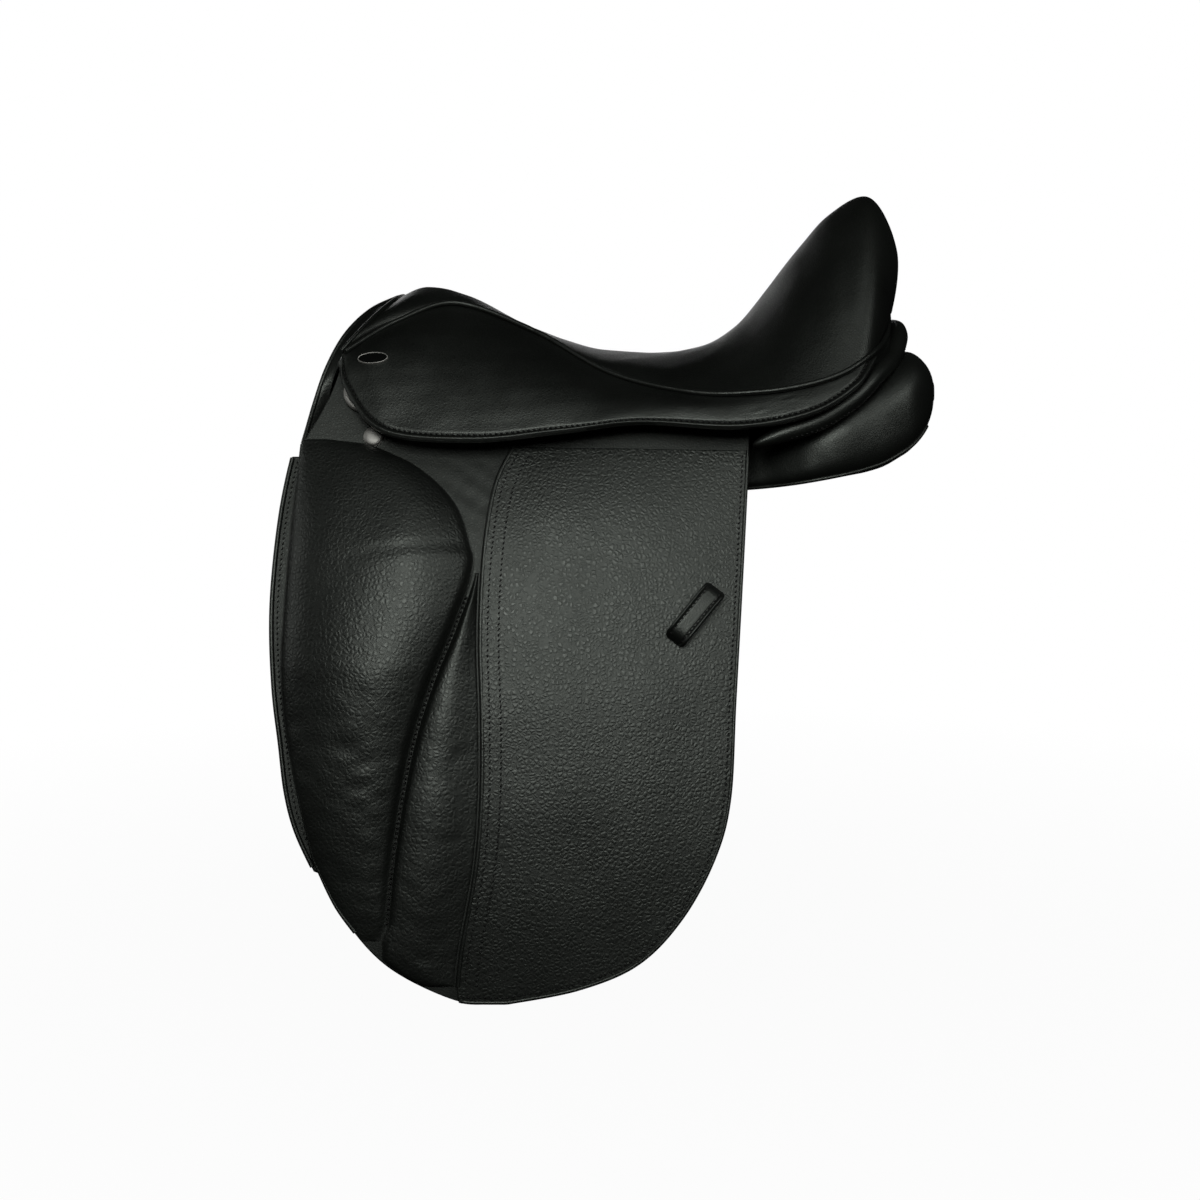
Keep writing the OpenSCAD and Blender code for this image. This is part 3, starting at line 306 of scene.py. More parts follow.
def sheet_faces(rows, cols):
    """Faces of a closed sheet: a grid of outer points, then the same grid of inner ones."""
    n = rows * cols
    cells = [i * cols + j for i in range(rows - 1) for j in range(cols - 1)]
    rim = [j for j in range(cols - 1)] + [i * cols + cols - 1 for i in range(rows - 1)]
    rim += [(rows - 1) * cols + j for j in range(cols - 1, 0, -1)]
    rim += [i * cols for i in range(rows - 1, 0, -1)]
    return ([(a, a + 1, a + cols + 1, a + cols) for a in cells]
            + [(n + a, n + a + cols, n + a + cols + 1, n + a + 1) for a in cells]
            + [(q, p, n + p, n + q) for p, q in zip(rim, rim[1:] + rim[:1])])


def sheet(name, outer, inner, material, sharp=50):
    """Closed sheet between a grid of outer points and one of inner points."""
    points = np.concatenate([outer.reshape(-1, 3), inner.reshape(-1, 3)])
    return piece(name, points, sheet_faces(*outer.shape[:2]), material, sharp)


# Polyurethane foam: cream, matt and open-celled, with cells 1.5 mm wide
foam, tree = blank("cream_seat_foam")
place = add(tree, "TexCoord")
cells = add(tree, "TexVoronoi", {"Scale": 1 / (1.5 * MM)}, {"Vector": place.outputs["Object"]})
tone = add(tree, "ValToRGB", {}, {"Fac": cells.outputs["Distance"]})
tone.color_ramp.elements[0].color, tone.color_ramp.elements[1].color = linear("#c4b88f"), linear("#e2d9bb")
relief = add(tree, "Bump", {"Strength": 0.5, "Distance": 0.6 * MM}, {"Height": cells.outputs["Distance"]})
cut = add(tree, "BsdfPrincipled", {"Roughness": 0.95, "Specular IOR Level": 0.2},
          {"Base Color": tone.outputs["Color"], "Normal": relief.outputs[0]})
add(tree, "OutputMaterial", {}, {"Surface": cut.outputs[0]})
FOAM_TOP, FOAM_DEPTH, FOAM_SKIVED = 3.5, 16.2, 2.5
FOAM_FIRST, FOAM_LAST, FOAM_TURN, SKIVED_TURN = 5 / 3, 28 / 3, 86, 30
stations = np.linspace(FOAM_FIRST, FOAM_LAST, 97)
turns = np.linspace(-FOAM_TURN, FOAM_TURN, 49)
inward = np.clip((FOAM_TURN - np.abs(turns)) / SKIVED_TURN, 0, 1)
thick = FOAM_SKIVED + (FOAM_DEPTH - FOAM_SKIVED) * inward ** 0.7
under = np.stack([seat_grid(stations, turns[k:k + 1], FOAM_TOP + d)[:, 0] for k, d in enumerate(thick)], 1)
seat_foam = sheet("seat_foam_pad", seat_grid(stations, turns, FOAM_TOP), under, foam)
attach(seat_foam, "root")
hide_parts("seat_foam")


# Seat: soft calf leather blocked wet over foam, with a deep dip, a high cantle and a narrow waist.
# The form is a loft of stations from pommel to cantle; foam and leather are layers of the same form.
def soften(made, width, segments=3):
    """Rounds the cut edges of a leather."""
    edge = made.modifiers.new("skived_edge", "BEVEL")
    edge.width = width * MM
    edge.segments = segments
    edge.limit_method = "ANGLE"
    edge.angle_limit = math.radians(50)
    return made


def leather(name, shaded_groove_tone, light, pore, depth, dull, crease=0.35):
    """Dyed leather: colour of its grooves, darker as painted shade, and of its pebbles; width and relief of
    the grain's pebbles in mm, then its roughness and its creases.
    """
    made, tree = blank(name)
    place = add(tree, "TexCoord")
    drift = add(tree, "TexNoise", {"Scale": 1 / (2.2 * pore * MM), "Detail": 2},
                {"Vector": place.outputs["Object"]})
    bent = add(tree, "MixRGB", {"blend_type": "LINEAR_LIGHT", 0: 0.3 * pore * MM},
               {1: place.outputs["Object"], 2: drift.outputs["Color"]})
    cells = add(tree, "TexVoronoi", {"feature": "DISTANCE_TO_EDGE", "Scale": 1 / (pore * MM)},
                {"Vector": bent.outputs[0]})
    pebble = add(tree, "MapRange", {"interpolation_type": "SMOOTHSTEP", "From Max": 0.36},
                 {"Value": cells.outputs["Distance"]})
    hair = add(tree, "TexNoise", {"Scale": 1 / (0.8 * MM), "Detail": 3}, {"Vector": place.outputs["Object"]})
    grain = add(tree, "Math", {"operation": "MULTIPLY_ADD", 1: 0.12},
                {0: hair.outputs["Fac"], 2: pebble.outputs[0]})
    folds = add(tree, "TexNoise", {"Scale": 1 / (11 * MM), "Detail": 5, "Roughness": 0.6},
                {"Vector": place.outputs["Object"]})
    fine = add(tree, "Bump", {"Strength": 0.8, "Distance": depth * MM}, {"Height": grain.outputs[0]})
    relief = add(tree, "Bump", {"Strength": crease, "Distance": 0.8 * MM},
                 {"Height": folds.outputs["Fac"], "Normal": fine.outputs[0]})
    cloud = add(tree, "TexNoise", {"Scale": 1 / (60 * MM), "Detail": 4}, {"Vector": place.outputs["Object"]})
    # Colour: the grooves between pebbles are painted darker as shade, the pebble tops lighter, with a random
    # tone 60 mm across
    both = add(tree, "Math", {"operation": "MULTIPLY_ADD", 1: 0.6},
               {0: pebble.outputs[0], 2: cloud.outputs["Fac"]})
    tone = add(tree, "ValToRGB", {}, {"Fac": both.outputs[0]})
    tone.color_ramp.elements[0].position, tone.color_ramp.elements[1].position = 0.35, 1.0
    tone.color_ramp.elements[0].color, tone.color_ramp.elements[1].color = linear(shaded_groove_tone), linear(light)
    worn = add(tree, "MapRange", {"To Min": 0.08, "To Max": -0.01}, {"Value": pebble.outputs[0]})
    rub = add(tree, "MapRange", {"To Min": dull - 0.06, "To Max": dull + 0.06},
              {"Value": cloud.outputs["Fac"]})
    rough = add(tree, "Math", {"operation": "ADD"}, {0: worn.outputs[0], 1: rub.outputs[0]})
    skin = add(tree, "BsdfPrincipled",
               {"IOR": 1.5, "Specular IOR Level": 0.5, "Specular Tint": linear("#f6fff4")},
               {"Base Color": tone.outputs["Color"], "Roughness": rough.outputs[0],
                "Normal": relief.outputs[0]})
    add(tree, "OutputMaterial", {}, {"Surface": skin.outputs[0]})
    return made


# Calf leather, aniline dyed black and waxed: fine 2 mm grain and a soft green-grey gloss
calf = leather("black_calf_waxed", "#060706", "#0f110f", 2.2, 0.07, 0.36)
SEAT_LEATHER = 2.4
stations = np.linspace(0, SEAT_LAST, 243)
turns = np.linspace(-90, 90, 97)
outer = seat_grid(stations, turns, 0)
inner = seat_grid(stations, turns, SEAT_LEATHER)
middle = (np.cos(np.radians(turns)) ** 0.7)[None, :, None]
hand = 0.5 * ripple(outer, 60, 3) + 0.2 * ripple(outer, 22, 4)
outer = outer + middle * hand[..., None] * [0, 0, 1]
seat_leather = sheet("seat_leather", outer, inner, calf)
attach(seat_leather, "root")
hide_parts("seat_cover")

# Welts: calf leather folded round a cord and sewn into the seam along each side of the seat.
# Both run from the front corner of the seat to the middle of the cantle's back.
SIDES = (("left", 1), ("right", -1))
WELT_R, SEAT_GAP = 2.0, 0.3
# Rows over which the rear end thins and tucks in under the seat, and how far it does
TUCK_ROWS, TUCK, TUCK_THIN = 0.9, 0.4, 0.55


def mirrored(points, y):
    """Points of the left side for y = 1, and of the right side for y = -1."""
    return np.asarray(points, float) * [1, y, 1]


def ring_faces(count, sides, closed=False, first=0):
    """Faces over rings of points, with a cap on each end unless the rings close into a loop."""
    faces = []
    for k in range(count if closed else count - 1):
        here, there = first + k * sides, first + (k + 1) % count * sides
        faces += [(here + j, here + (j + 1) % sides, there + (j + 1) % sides, there + j)
                  for j in range(sides)]
    last = first + (count - 1) * sides
    return faces if closed else faces + [tuple(range(first, first + sides)), tuple(range(last, last + sides))]


def tube(name, path, radius, material, sides=12, ring=False):
    """Round cord along a path with one radius or a list of them, closed at its ends or into a ring."""
    path = np.asarray(path, float)
    count = len(path)
    before, after = np.roll(path, 1, 0), np.roll(path, -1, 0)
    if not ring:
        before[0], after[-1] = path[0], path[-1]
    ways = unit(after - before)
    side = np.cross(ways[0], [0.13, 0.21, 1])
    sides_way = []
    for way in ways:
        side = unit(side - way * (side @ way))
        sides_way.append(side)
    first = np.array(sides_way)
    second = np.cross(ways, first)
    turn = np.linspace(0, 2 * np.pi, sides, endpoint=False)[None, :, None]
    thick = np.broadcast_to(radius, count)[:, None, None]
    points = path[:, None] + thick * (np.cos(turn) * first[:, None] + np.sin(turn) * second[:, None])
    return piece(name, points, ring_faces(count, sides, ring), material, 60)


stations = np.linspace(0, SEAT_LAST, 265)
way = unit(welt(np.minimum(stations + 0.05, SEAT_LAST)) - welt(np.maximum(stations - 0.05, 0)))
fade = np.clip((SEAT_LAST - stations) / TUCK_ROWS, 0, 1)[:, None]
aside = (WELT_R + 2 * SEAT_GAP) * ((1 + TUCK) * fade - TUCK)
welt_path = welt(stations) + unit(np.cross(way, [0, 0, 1])) * aside
welt_thick = (WELT_R + 0.12 * ripple(welt_path, 14, 11)) * (TUCK_THIN + (1 - TUCK_THIN) * fade[:, 0])
for side, y in SIDES:
    cord = tube(side + "_welt_piping", mirrored(welt_path, y), welt_thick, calf)
    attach(cord, "root")
    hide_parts(side + "_welt")

# Panels: two long cushions of soft leather stuffed with wool flock, one on each side of the channel.
# Each is sewn from a top, a side strip and a base, so a piped seam runs along its outer lower edge.
PANEL_FRONT, PANEL_REAR, PANEL_NOSE, PANEL_SQUARE = -206, 257, 26, 0.62
PANEL_SEAM_TURN, SEAM_LIFT = 222.0, 0.4
# Place along the saddle, then y and z of the inner top, outer top, outer low and inner low corner
PANEL_ROWS = np.array([
    [-200, -42, 100, -62, 94, -82, 50, -60, 62], [-150, -36, 104, -66, 92, -90, 40, -60, 60],
    [-60, -30, 82, -76, 70, -102, 22, -50, 48], [40, -26, 64, -86, 50, -106, 4, -38, 30],
    [110, -24, 70, -90, 54, -110, 5, -32, 26], [160, -22, 88, -126, 62, -128, 12, -28, 28],
    [210, -22, 112, -120, 92, -126, 22, -28, 36], [257, -36, 128, -100, 114, -108, 46, -38, 54]])


def curve_at(knots, at):
    """Value at a place on the smooth curve through rows of place and values."""
    knots, at = np.asarray(knots, float), np.asarray(at, float)
    rising = knots if knots[1, 0] > knots[0, 0] else knots[::-1]
    i = np.clip(np.searchsorted(rising[:, 0], at, side="right") - 1, 0, len(rising) - 2)
    f = np.clip((at - rising[i, 0]) / (rising[i + 1, 0] - rising[i, 0]), 0, 1)
    return spline(rising, i + f)[..., 1:]


def panel_rings(x, turn):
    """Rings of a left panel at places x, each turned once round its corners."""
    corner = curve_at(PANEL_ROWS, x).reshape(-1, 4, 2)[:, :, None]
    c, s = np.cos(turn), np.sin(turn)
    u = ((1 + np.sign(c) * np.abs(c) ** PANEL_SQUARE) / 2)[None, :, None]
    v = ((1 + np.sign(s) * np.abs(s) ** PANEL_SQUARE) / 2)[None, :, None]
    low = corner[:, 3] * u + corner[:, 2] * (1 - u)
    top = corner[:, 0] * u + corner[:, 1] * (1 - u)
    reach = np.minimum(np.minimum(x - PANEL_FRONT, PANEL_REAR - x), PANEL_NOSE) / PANEL_NOSE
    full = np.sqrt(1 - (1 - np.maximum(reach, 0.02)) ** 2)[:, None, None]
    middle = corner.mean(1)
    ring = middle + full * (low * (1 - v) + top * v - middle)
    return np.concatenate([np.broadcast_to(x[:, None, None], ring.shape[:2] + (1,)), ring], -1)


# Panel leather, soft calf dyed black: finer pores than the seat and a duller, softer gloss
panel_calf = leather("black_panel_calf", "#060706", "#0f110f", 1.8, 0.05, 0.38)
ends = PANEL_NOSE * (1 - np.cos(np.linspace(0, np.pi / 2, 16)))
between = np.linspace(PANEL_FRONT + PANEL_NOSE, PANEL_REAR - PANEL_NOSE, 100)
places = np.concatenate([PANEL_FRONT + ends[:-1], between, (PANEL_REAR - ends[:-1])[::-1]])
turn = np.linspace(0, 2 * np.pi, 64, endpoint=False)
rings = panel_rings(places, turn)
middle = rings.mean(1, keepdims=True)
stuffed = 0.8 * ripple(rings, 75, 21) + 0.25 * ripple(rings, 26, 22)
stuffed = stuffed * np.minimum(1, np.linalg.norm(rings - middle, axis=2) / 20)
rings = rings + unit(rings - middle) * stuffed[..., None]
panel_faces = ring_faces(*rings.shape[:2])
seam = panel_rings(places[8:-8], np.radians([PANEL_SEAM_TURN]))[:, 0]
seam = seam + SEAM_LIFT * unit(seam - panel_rings(places[8:-8], turn).mean(1))
for side, y in SIDES:
    panel = piece(side + "_panel_cushion", mirrored(rings, y), panel_faces, panel_calf)
    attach(panel, "root")
    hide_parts(side + "_panel")
    piping = tube(side + "_panel_piping", mirrored(seam, y), 1.5, calf, 10)
    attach(piping, "root")

# Channel lining: a strip of lining leather that joins the two panels over the spine.
# It is glued under the webs and sewn to the inner top edge of each panel.
LINING_T, LINING_LAP, LINING_BOW = 2, 6, 6
# Lining leather: thin, undyed side out, dull grey-brown with a fine 0.9 mm grain
lining = leather("channel_lining_leather", "#211d19", "#3d3832", 0.9, 0.08, 0.6)
places = np.linspace(-192, 206, 80)
inner_top = curve_at(PANEL_ROWS, places)[:, :2]
s = np.linspace(-1, 1, 25)
across = s * (LINING_LAP - inner_top[:, :1])
high = inner_top[:, 1:] + LINING_BOW * (1 - s ** 2)
outer = np.stack(np.broadcast_arrays(places[:, None], across, high), -1)
outer = outer + 0.25 * ripple(outer, 30, 31)[..., None] * [0, 0, 1]


channel = sheet("channel_lining", outer, outer - [0, 0, LINING_T], lining)
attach(channel, "root")
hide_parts("gullet_lining")

# Sweat flaps: long leaves of cowhide under the girth straps, sewn to the panel's edge.
# Each front edge is bound with a piping and a row of stitches; a pocket on each holds the tree point's tip.
FLAP_R, FLAP_AXIS_Y, FLAP_AXIS_Z = 1450, 1222.4, -493.2
FLAP_T, SWEAT_OUT, SWEAT_T = 4.6, -13.0, 4.4
SWEAT_FRONT = [[128, -192], [105, -205], [82, -213], [56, -226], [45, -231], [-3, -239], [-68, -243],
               [-125, -240], [-168, -234], [-203, -229], [-231, -221], [-262, -206]]
SWEAT_TOP, SWEAT_REAR, SWEAT_DROP, SWEAT_ROUND = 41.5, 88, 262, 60
# Outward bow of the flap and what is sewn to it: depth, middle and half width, and its heights
FLAP_BOW, BOW_X, BOW_HALF, BOW_TOP, BOW_RUN, BOW_FADE, BOW_END = 10, -70, 190, 44, 80, -130, 235
BOWED_OUT = -8


def on_flap(x, z, out):
    """Points on the flap's roll at x and height z, standing out of its outer face, which is bowed."""
    x, z, out = np.broadcast_arrays(np.asarray(x, float), z, out)
    lean = np.arcsin((z - FLAP_AXIS_Z) / FLAP_R)
    bowed = np.clip(1 - ((x - BOW_X) / BOW_HALF) ** 2, 0, 1)
    bowed = bowed * np.sin(np.pi / 2 * np.clip((BOW_TOP - z) / BOW_RUN, 0, 1))
    bowed = bowed * (1 - (np.clip(BOW_FADE - z, 0, BOW_END) / BOW_END) ** 2)
    out = out + np.where(out > BOWED_OUT, FLAP_BOW * bowed, 0)
    return np.stack([x, FLAP_AXIS_Y - FLAP_R * np.cos(lean) - out * np.cos(lean), z + out * np.sin(lean)], -1)


def resample(path, step):
    """Points an even step apart along a path."""
    path = np.asarray(path, float)
    run = np.concatenate([[0], np.linalg.norm(np.diff(path, axis=0), axis=1).cumsum()])
    at = np.linspace(0, run[-1], max(2, int(round(run[-1] / step)) + 1))
    return np.stack([np.interp(at, run, path[:, k]) for k in range(path.shape[1])], 1)


def edge(knots, high, low, count=120):
    """Side edge as [x, z] from one height down to another, through knots of height and place."""
    line = spline(knots, np.linspace(0, len(knots) - 1, count))
    return line[(line[:, 0] <= high) & (line[:, 0] >= low)][:, ::-1]


def inset(outline, distance):
    """Path inside an outline of [x, z] points, for which the inside lies on the left."""
    way = np.gradient(outline, axis=0)
    way /= np.linalg.norm(way, axis=1)[:, None]
    return outline + distance * np.stack([-way[:, 1], way[:, 0]], 1)


def fill(outline, step):
    """Points and triangles that fill an outline of [x, z] points; its own points come first."""
    low, high = outline.min(0), outline.max(0)
    levels = np.arange(low[1], high[1], step * 0.87)
    grid = np.array([(x + step / 2 * (k % 2), z) for k, z in enumerate(levels)
                     for x in np.arange(low[0], high[0], step)])
    a, b = outline, np.roll(outline, -1, 0)
    rise = np.where(b[:, 1] == a[:, 1], 1e-9, b[:, 1] - a[:, 1])
    past = (a[:, 1] > grid[:, None, 1]) != (b[:, 1] > grid[:, None, 1])
    past &= grid[:, None, 0] < (b - a)[:, 0] * (grid[:, None, 1] - a[:, 1]) / rise + a[:, 0]
    clear = np.linalg.norm(grid[:, None] - outline, axis=2).min(1) > 0.7 * step
    points = np.concatenate([outline, grid[(past.sum(1) % 2 == 1) & clear]])
    ring = [(k, (k + 1) % len(outline)) for k in range(len(outline))]
    found = delaunay_2d_cdt([Vector(p) for p in points], ring, [], 1, 1e-6)
    return points, [tuple(f) for f in found[2]]


def leaf(name, outline, out, thick, material, y, step=5, rise=None):
    """Leather leaf on the flap's roll, cut to an outline, with its outer face lifted by rise(x, z)."""
    outline = resample(np.concatenate([outline, outline[:1]]), 0.7 * step)[:-1]
    flat, cells = fill(outline, step)
    x, z = flat.T
    outer = on_flap(x, z, out + (rise(x, z) if rise else 0))
    inner = on_flap(x, z, out - thick)
    n, m = len(flat), len(outline)
    shell = cells + [(n + c, n + b, n + a) for a, b, c in cells]
    shell += [(k, (k + 1) % m, n + (k + 1) % m, n + k) for k in range(m)]
    made = piece(name, mirrored(np.concatenate([outer, inner]), y), shell, material)
    area = sum(np.linalg.norm(np.cross(outer[b] - outer[a], outer[c] - outer[a])) / 2 for a, b, c in cells)
    area = area * MM * MM
    return soften(made, min(1.4, thick / 3)), float(area)


def stitches(name, path, out, y, pitch=4.0, radius=0.6):
    """Row of saddler's stitches along a path, each a short round of thread that dips at its two holes."""
    path = np.asarray(path, float)
    run = np.concatenate([[0], np.linalg.norm(np.diff(path, axis=0), axis=1).cumsum()])
    at = (np.arange(int(run[-1] / pitch)) + 0.5) * pitch
    place = np.stack([np.interp(at, run, path[:, k]) for k in range(3)], 1)
    way = unit(np.stack([np.interp(at + 0.5, run, path[:, k]) - np.interp(at - 0.5, run, path[:, k])
                         for k in range(3)], 1))
    up = np.stack([np.interp(at, run, np.broadcast_to(out, path.shape)[:, k]) for k in range(3)], 1)
    up = unit(up - way * (up * way).sum(1, keepdims=True))
    across = np.cross(way, up)
    share = np.array([-1, -0.8, -0.4, 0, 0.4, 0.8, 1])[None, :, None, None]
    round_ = np.linspace(0, 2 * np.pi, 6, endpoint=False)[None, None, :, None]
    full = np.array([0.35, 0.8, 1, 1.05, 1, 0.8, 0.35])[None, :, None, None] * radius
    dip = np.array([-1.1, -0.35, 0.1, 0.25, 0.1, -0.35, -1.1])[None, :, None, None] * radius
    wide = [k[:, None, None] for k in (place, way, up, across)]
    points = (wide[0] + share * STITCH_HALF * pitch * (wide[1] + STITCH_SLANT * wide[3]) + dip * wide[2]
              + full * (np.cos(round_) * wide[3] + np.sin(round_) * wide[2]))
    count, sides = points.shape[1:3]
    cells = [cell for k in range(len(at)) for cell in ring_faces(count, sides, first=k * count * sides)]
    return piece(name, mirrored(points.reshape(-1, 3), y), cells, thread, 80)


def flap_stitches(name, path, lift, y, pitch=4.0):
    """Row of stitches along a path of [x, z] points, lifted off the flap's face."""
    face = on_flap(*path.T, lift)
    return stitches(name, face, on_flap(*path.T, lift + 1) - face, y, pitch)


# Half a stitch as a share of the pitch, and how much each leans across the row
STITCH_HALF, STITCH_SLANT = 0.30, 0.35
# Linen thread, waxed black: darker than the leather, with a fine twist 1 mm long
thread, tree = blank("waxed_black_thread")
place = add(tree, "TexCoord")
twist = add(tree, "TexNoise", {"Scale": 1 / (1 * MM), "Detail": 2}, {"Vector": place.outputs["Object"]})
tone = add(tree, "ValToRGB", {}, {"Fac": twist.outputs["Fac"]})
tone.color_ramp.elements[0].color, tone.color_ramp.elements[1].color = linear("#040404"), linear("#0c0d0b")
relief = add(tree, "Bump", {"Strength": 0.4, "Distance": 0.2 * MM}, {"Height": twist.outputs["Fac"]})
strand = add(tree, "BsdfPrincipled", {"Roughness": 0.55, "Specular IOR Level": 0.25},
             {"Base Color": tone.outputs["Color"], "Normal": relief.outputs[0]})
add(tree, "OutputMaterial", {}, {"Surface": strand.outputs[0]})

# Sweat flap leather: firm cowhide, grain side out, dyed black and dull, with 2 mm pebbles
cowhide = leather("black_cowhide_dull", "#060706", "#0e100e", 2.2, 0.08, 0.50)
bend = np.radians(np.linspace(0, 90, 24))
corner = np.stack([SWEAT_REAR + SWEAT_ROUND * (np.cos(bend) - 1),
                   -SWEAT_DROP + SWEAT_ROUND * (1 - np.sin(bend))], 1)
sweat_front = edge(SWEAT_FRONT, SWEAT_TOP, -SWEAT_DROP + 1)
sweat_outline = np.concatenate([sweat_front[:1] * [1, 0] + [0, SWEAT_TOP], sweat_front, corner[::-1],
                                [[SWEAT_REAR, SWEAT_TOP]]])
bound = resample(edge(SWEAT_FRONT, SWEAT_TOP, -258), 4)
for side, y in SIDES:
    sweat, area = leaf(side + "_sweat_leaf", sweat_outline, SWEAT_OUT, SWEAT_T, cowhide, y, 6)
    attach(sweat, "root")
    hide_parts(side + "_sweat_flap")
    bound_edge = on_flap(*(bound + [1.2, 0]).T, SWEAT_OUT + 0.6)
    piping = tube(side + "_sweat_piping", mirrored(bound_edge, y), 1.8, calf, 10)
    row = flap_stitches(side + "_sweat_stitches", inset(bound, 5.5), SWEAT_OUT, y)
    for part in (piping, row):
        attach(part, "root")
dress(cowhide, "left_point_pocket", "right_point_pocket")

# Girth straps: two short straps of bridle leather on each side, with buckle holes punched near the tip.
# Each is sewn to the web over the tree and hangs between sweat flap and flap.
# Bridle leather: thick, waxed and smooth, with a faint 1.2 mm grain
bridle = leather("black_bridle_leather", "#0d0d0b", "#1f1f1b", 1.2, 0.08, 0.42)
dress(bridle, "left_front_billet", "right_front_billet", "left_rear_billet", "right_rear_billet")

# Flaps: one leaf of firm leather on each side, nailed to the tree point and hidden by the skirt at its top.
# It bends along a line just under the skirt, where the rider lifts it to reach the girth straps; here the
# leaf is built in one piece with its root, not split at that line.
BEND_Z, FLAP_REAR, FLAP_DROP, ROOT_TOP, ROOT_STRIP, ROOT_STEP = 43.5, 112, 351, 104, 54, -158
FLAP_FRONT = [[52.5, -222], [-9, -226], [-66, -229], [-122, -230], [-178, -222], [-249, -205], [-283, -188],
              [-314, -164], [-333, -139], [-349, -103], [-351, -80]]
FLAP_BACK = [[52.5, 112], [-38, 105.5], [-137, 98.5], [-207, 94], [-249, 82.5], [-291, 59], [-323, 27.5],
             [-341, -15], [-351, -66]]
flap_front = edge(FLAP_FRONT, 46, -FLAP_DROP - 9)
flap_back = edge(FLAP_BACK, BEND_Z, -FLAP_DROP - 9)[::-1]
root_front = edge(SWEAT_FRONT, ROOT_TOP, 62) + [10, 0]
root_strip = [[FLAP_REAR, ROOT_STRIP + 12], [-8, ROOT_STRIP + 12], [-20, ROOT_STRIP], [ROOT_STEP, ROOT_STRIP]]
flap_outline = np.concatenate([[[ROOT_STEP, ROOT_TOP]], root_front, flap_front, flap_back, root_strip])


def in_plane(x, z):
    """Points of the flap seen from the side, where its ripples are drawn."""
    return np.stack([x, 0 * x, z], -1)


def soft_folds(x, z):
    """Creases in the bare leather under the skirt's edge, where the flap bends."""
    near = np.exp(-(((x + 95) / 24) ** 2 + ((z - 8) / 26) ** 2))
    slant = (0.5 * x + 0.86 * z) / 2.1 + 1.5 * ripple(in_plane(x, z), 40, 48)
    return near * (0.35 * np.sin(slant) + 0.2 * ripple(in_plane(x, z), 14, 49)) - 0.4 * near


for side, y in SIDES:
    flap, area = leaf(side + "_flap_leaf", flap_outline, 0, FLAP_T, cowhide, y, 3.4, soft_folds)
    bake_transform(flap)
    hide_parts(side + "_flap", side + "_flap_root")

# Thigh blocks and wedges: firm foam under grained calf, sewn to the front half of each flap.
# A stitched seam runs down between block and wedge, the block's front edge is piped,
# and the leather gathers in small folds across the lower half.
BLOCK_TOP, BLOCK_LOW, BLOCK_DEPTH = 49, -306, 24
BLOCK_REAR = [[49, -200], [45, -170], [31, -140], [14, -118], [-5, -103], [-27, -95], [-45, -92], [-83, -104],
              [-128, -122], [-170, -135], [-211, -143], [-253, -149], [-294, -153], [-308, -158]]
OVERLAY_FRONT = [[42.5, -65], [12, -78], [-38, -85], [-95, -87], [-151, -85], [-207, -85], [-256, -89],
                 [-312, -99], [-338, -102]]


def pad(name, high, low, front_at, rear_at, rise, y, material, rows=150, cols=61):
    """Padded leaf on the flap between two side curves, standing out by rise(u, x, z)."""
    z = high + (low - high) * (1 - np.cos(np.linspace(0, np.pi, rows))) / 2
    u = (1 - np.cos(np.linspace(0, np.pi, cols))) / 2
    x = front_at(z)[:, None] * (1 - u) + rear_at(z)[:, None] * u
    zz = np.broadcast_to(z[:, None], x.shape)
    outer = on_flap(x, zz, 1.1 + rise(np.broadcast_to(u, x.shape), x, zz))
    return sheet(name, mirrored(outer, y), mirrored(on_flap(x, zz, SEAT_GAP), y), material, 70)


def front_at(z):
    """Place of the flap's front edge at a height."""
    return curve_at(FLAP_FRONT, z)[..., 0]


def seam_at(z):
    """Place of the seam behind the block at a height."""
    return curve_at(BLOCK_REAR, z)[..., 0]


def block_rise(u, x, z):
    """Height of the block over the flap: full past its middle, lower at the seam, with a crease and folds."""
    v = (BLOCK_TOP - z) / (BLOCK_TOP - BLOCK_LOW)
    fall = np.clip((u - 0.6) / 0.4, 0, 1) ** 2
    at_seam = 0.12 + 0.28 * np.clip((-30 - z) / 50, 0, 1)
    full = np.sqrt(1 - (1 - np.clip(u / 0.6, 0, 1)) ** 2) * (1 - (1 - at_seam) * fall)
    full = full * (1 - 0.7 * np.exp(-((seam_at(z) - x) / 2.8) ** 2))
    full = BLOCK_DEPTH * full * np.clip(4 * v, 0, 1) ** 0.5 * np.clip(1.9 * (1 - v), 0, 1) ** 0.8
    place = in_plane(x, z)
    crease = -1.0 * np.exp(-((z + 38 - 0.12 * (x + 150)) / 4) ** 2) * np.clip((u - 0.2) * 3, 0, 1)
    low = np.clip((-60 - z) / 120, 0, 1)
    folds = low * 0.5 * np.sin(z / 3.4 + 2.2 * ripple(place, 60, 41)) * ripple(place, 30, 42)
    return full + np.minimum(1, full / 8) * (crease + 0.7 * ripple(place, 70, 43) + folds)


# Block leather: calf with a heavier natural grain of pebbles 3.6 mm wide, drawn open over the foam
grained_calf = leather("black_grained_calf", "#060706", "#101210", 3.6, 0.17, 0.40, 0.4)
WEDGE_TOP, WEDGE_LOW, WEDGE_DEPTH, SEAM_GAP, GROOVE = -50, -338, 9, 2.2, 2.4


def wedge_back(z):
    """Place of the wedge's rear edge, a narrow groove ahead of the overlay."""
    return curve_at(OVERLAY_FRONT, z)[..., 0] - GROOVE


def wedge_front(z):
    """Place of the wedge's front edge, behind the seam or the flap's own edge."""
    after_seam = np.maximum(seam_at(np.maximum(z, BLOCK_LOW)), front_at(z)) + SEAM_GAP
    return np.minimum(after_seam, wedge_back(z) - 1)


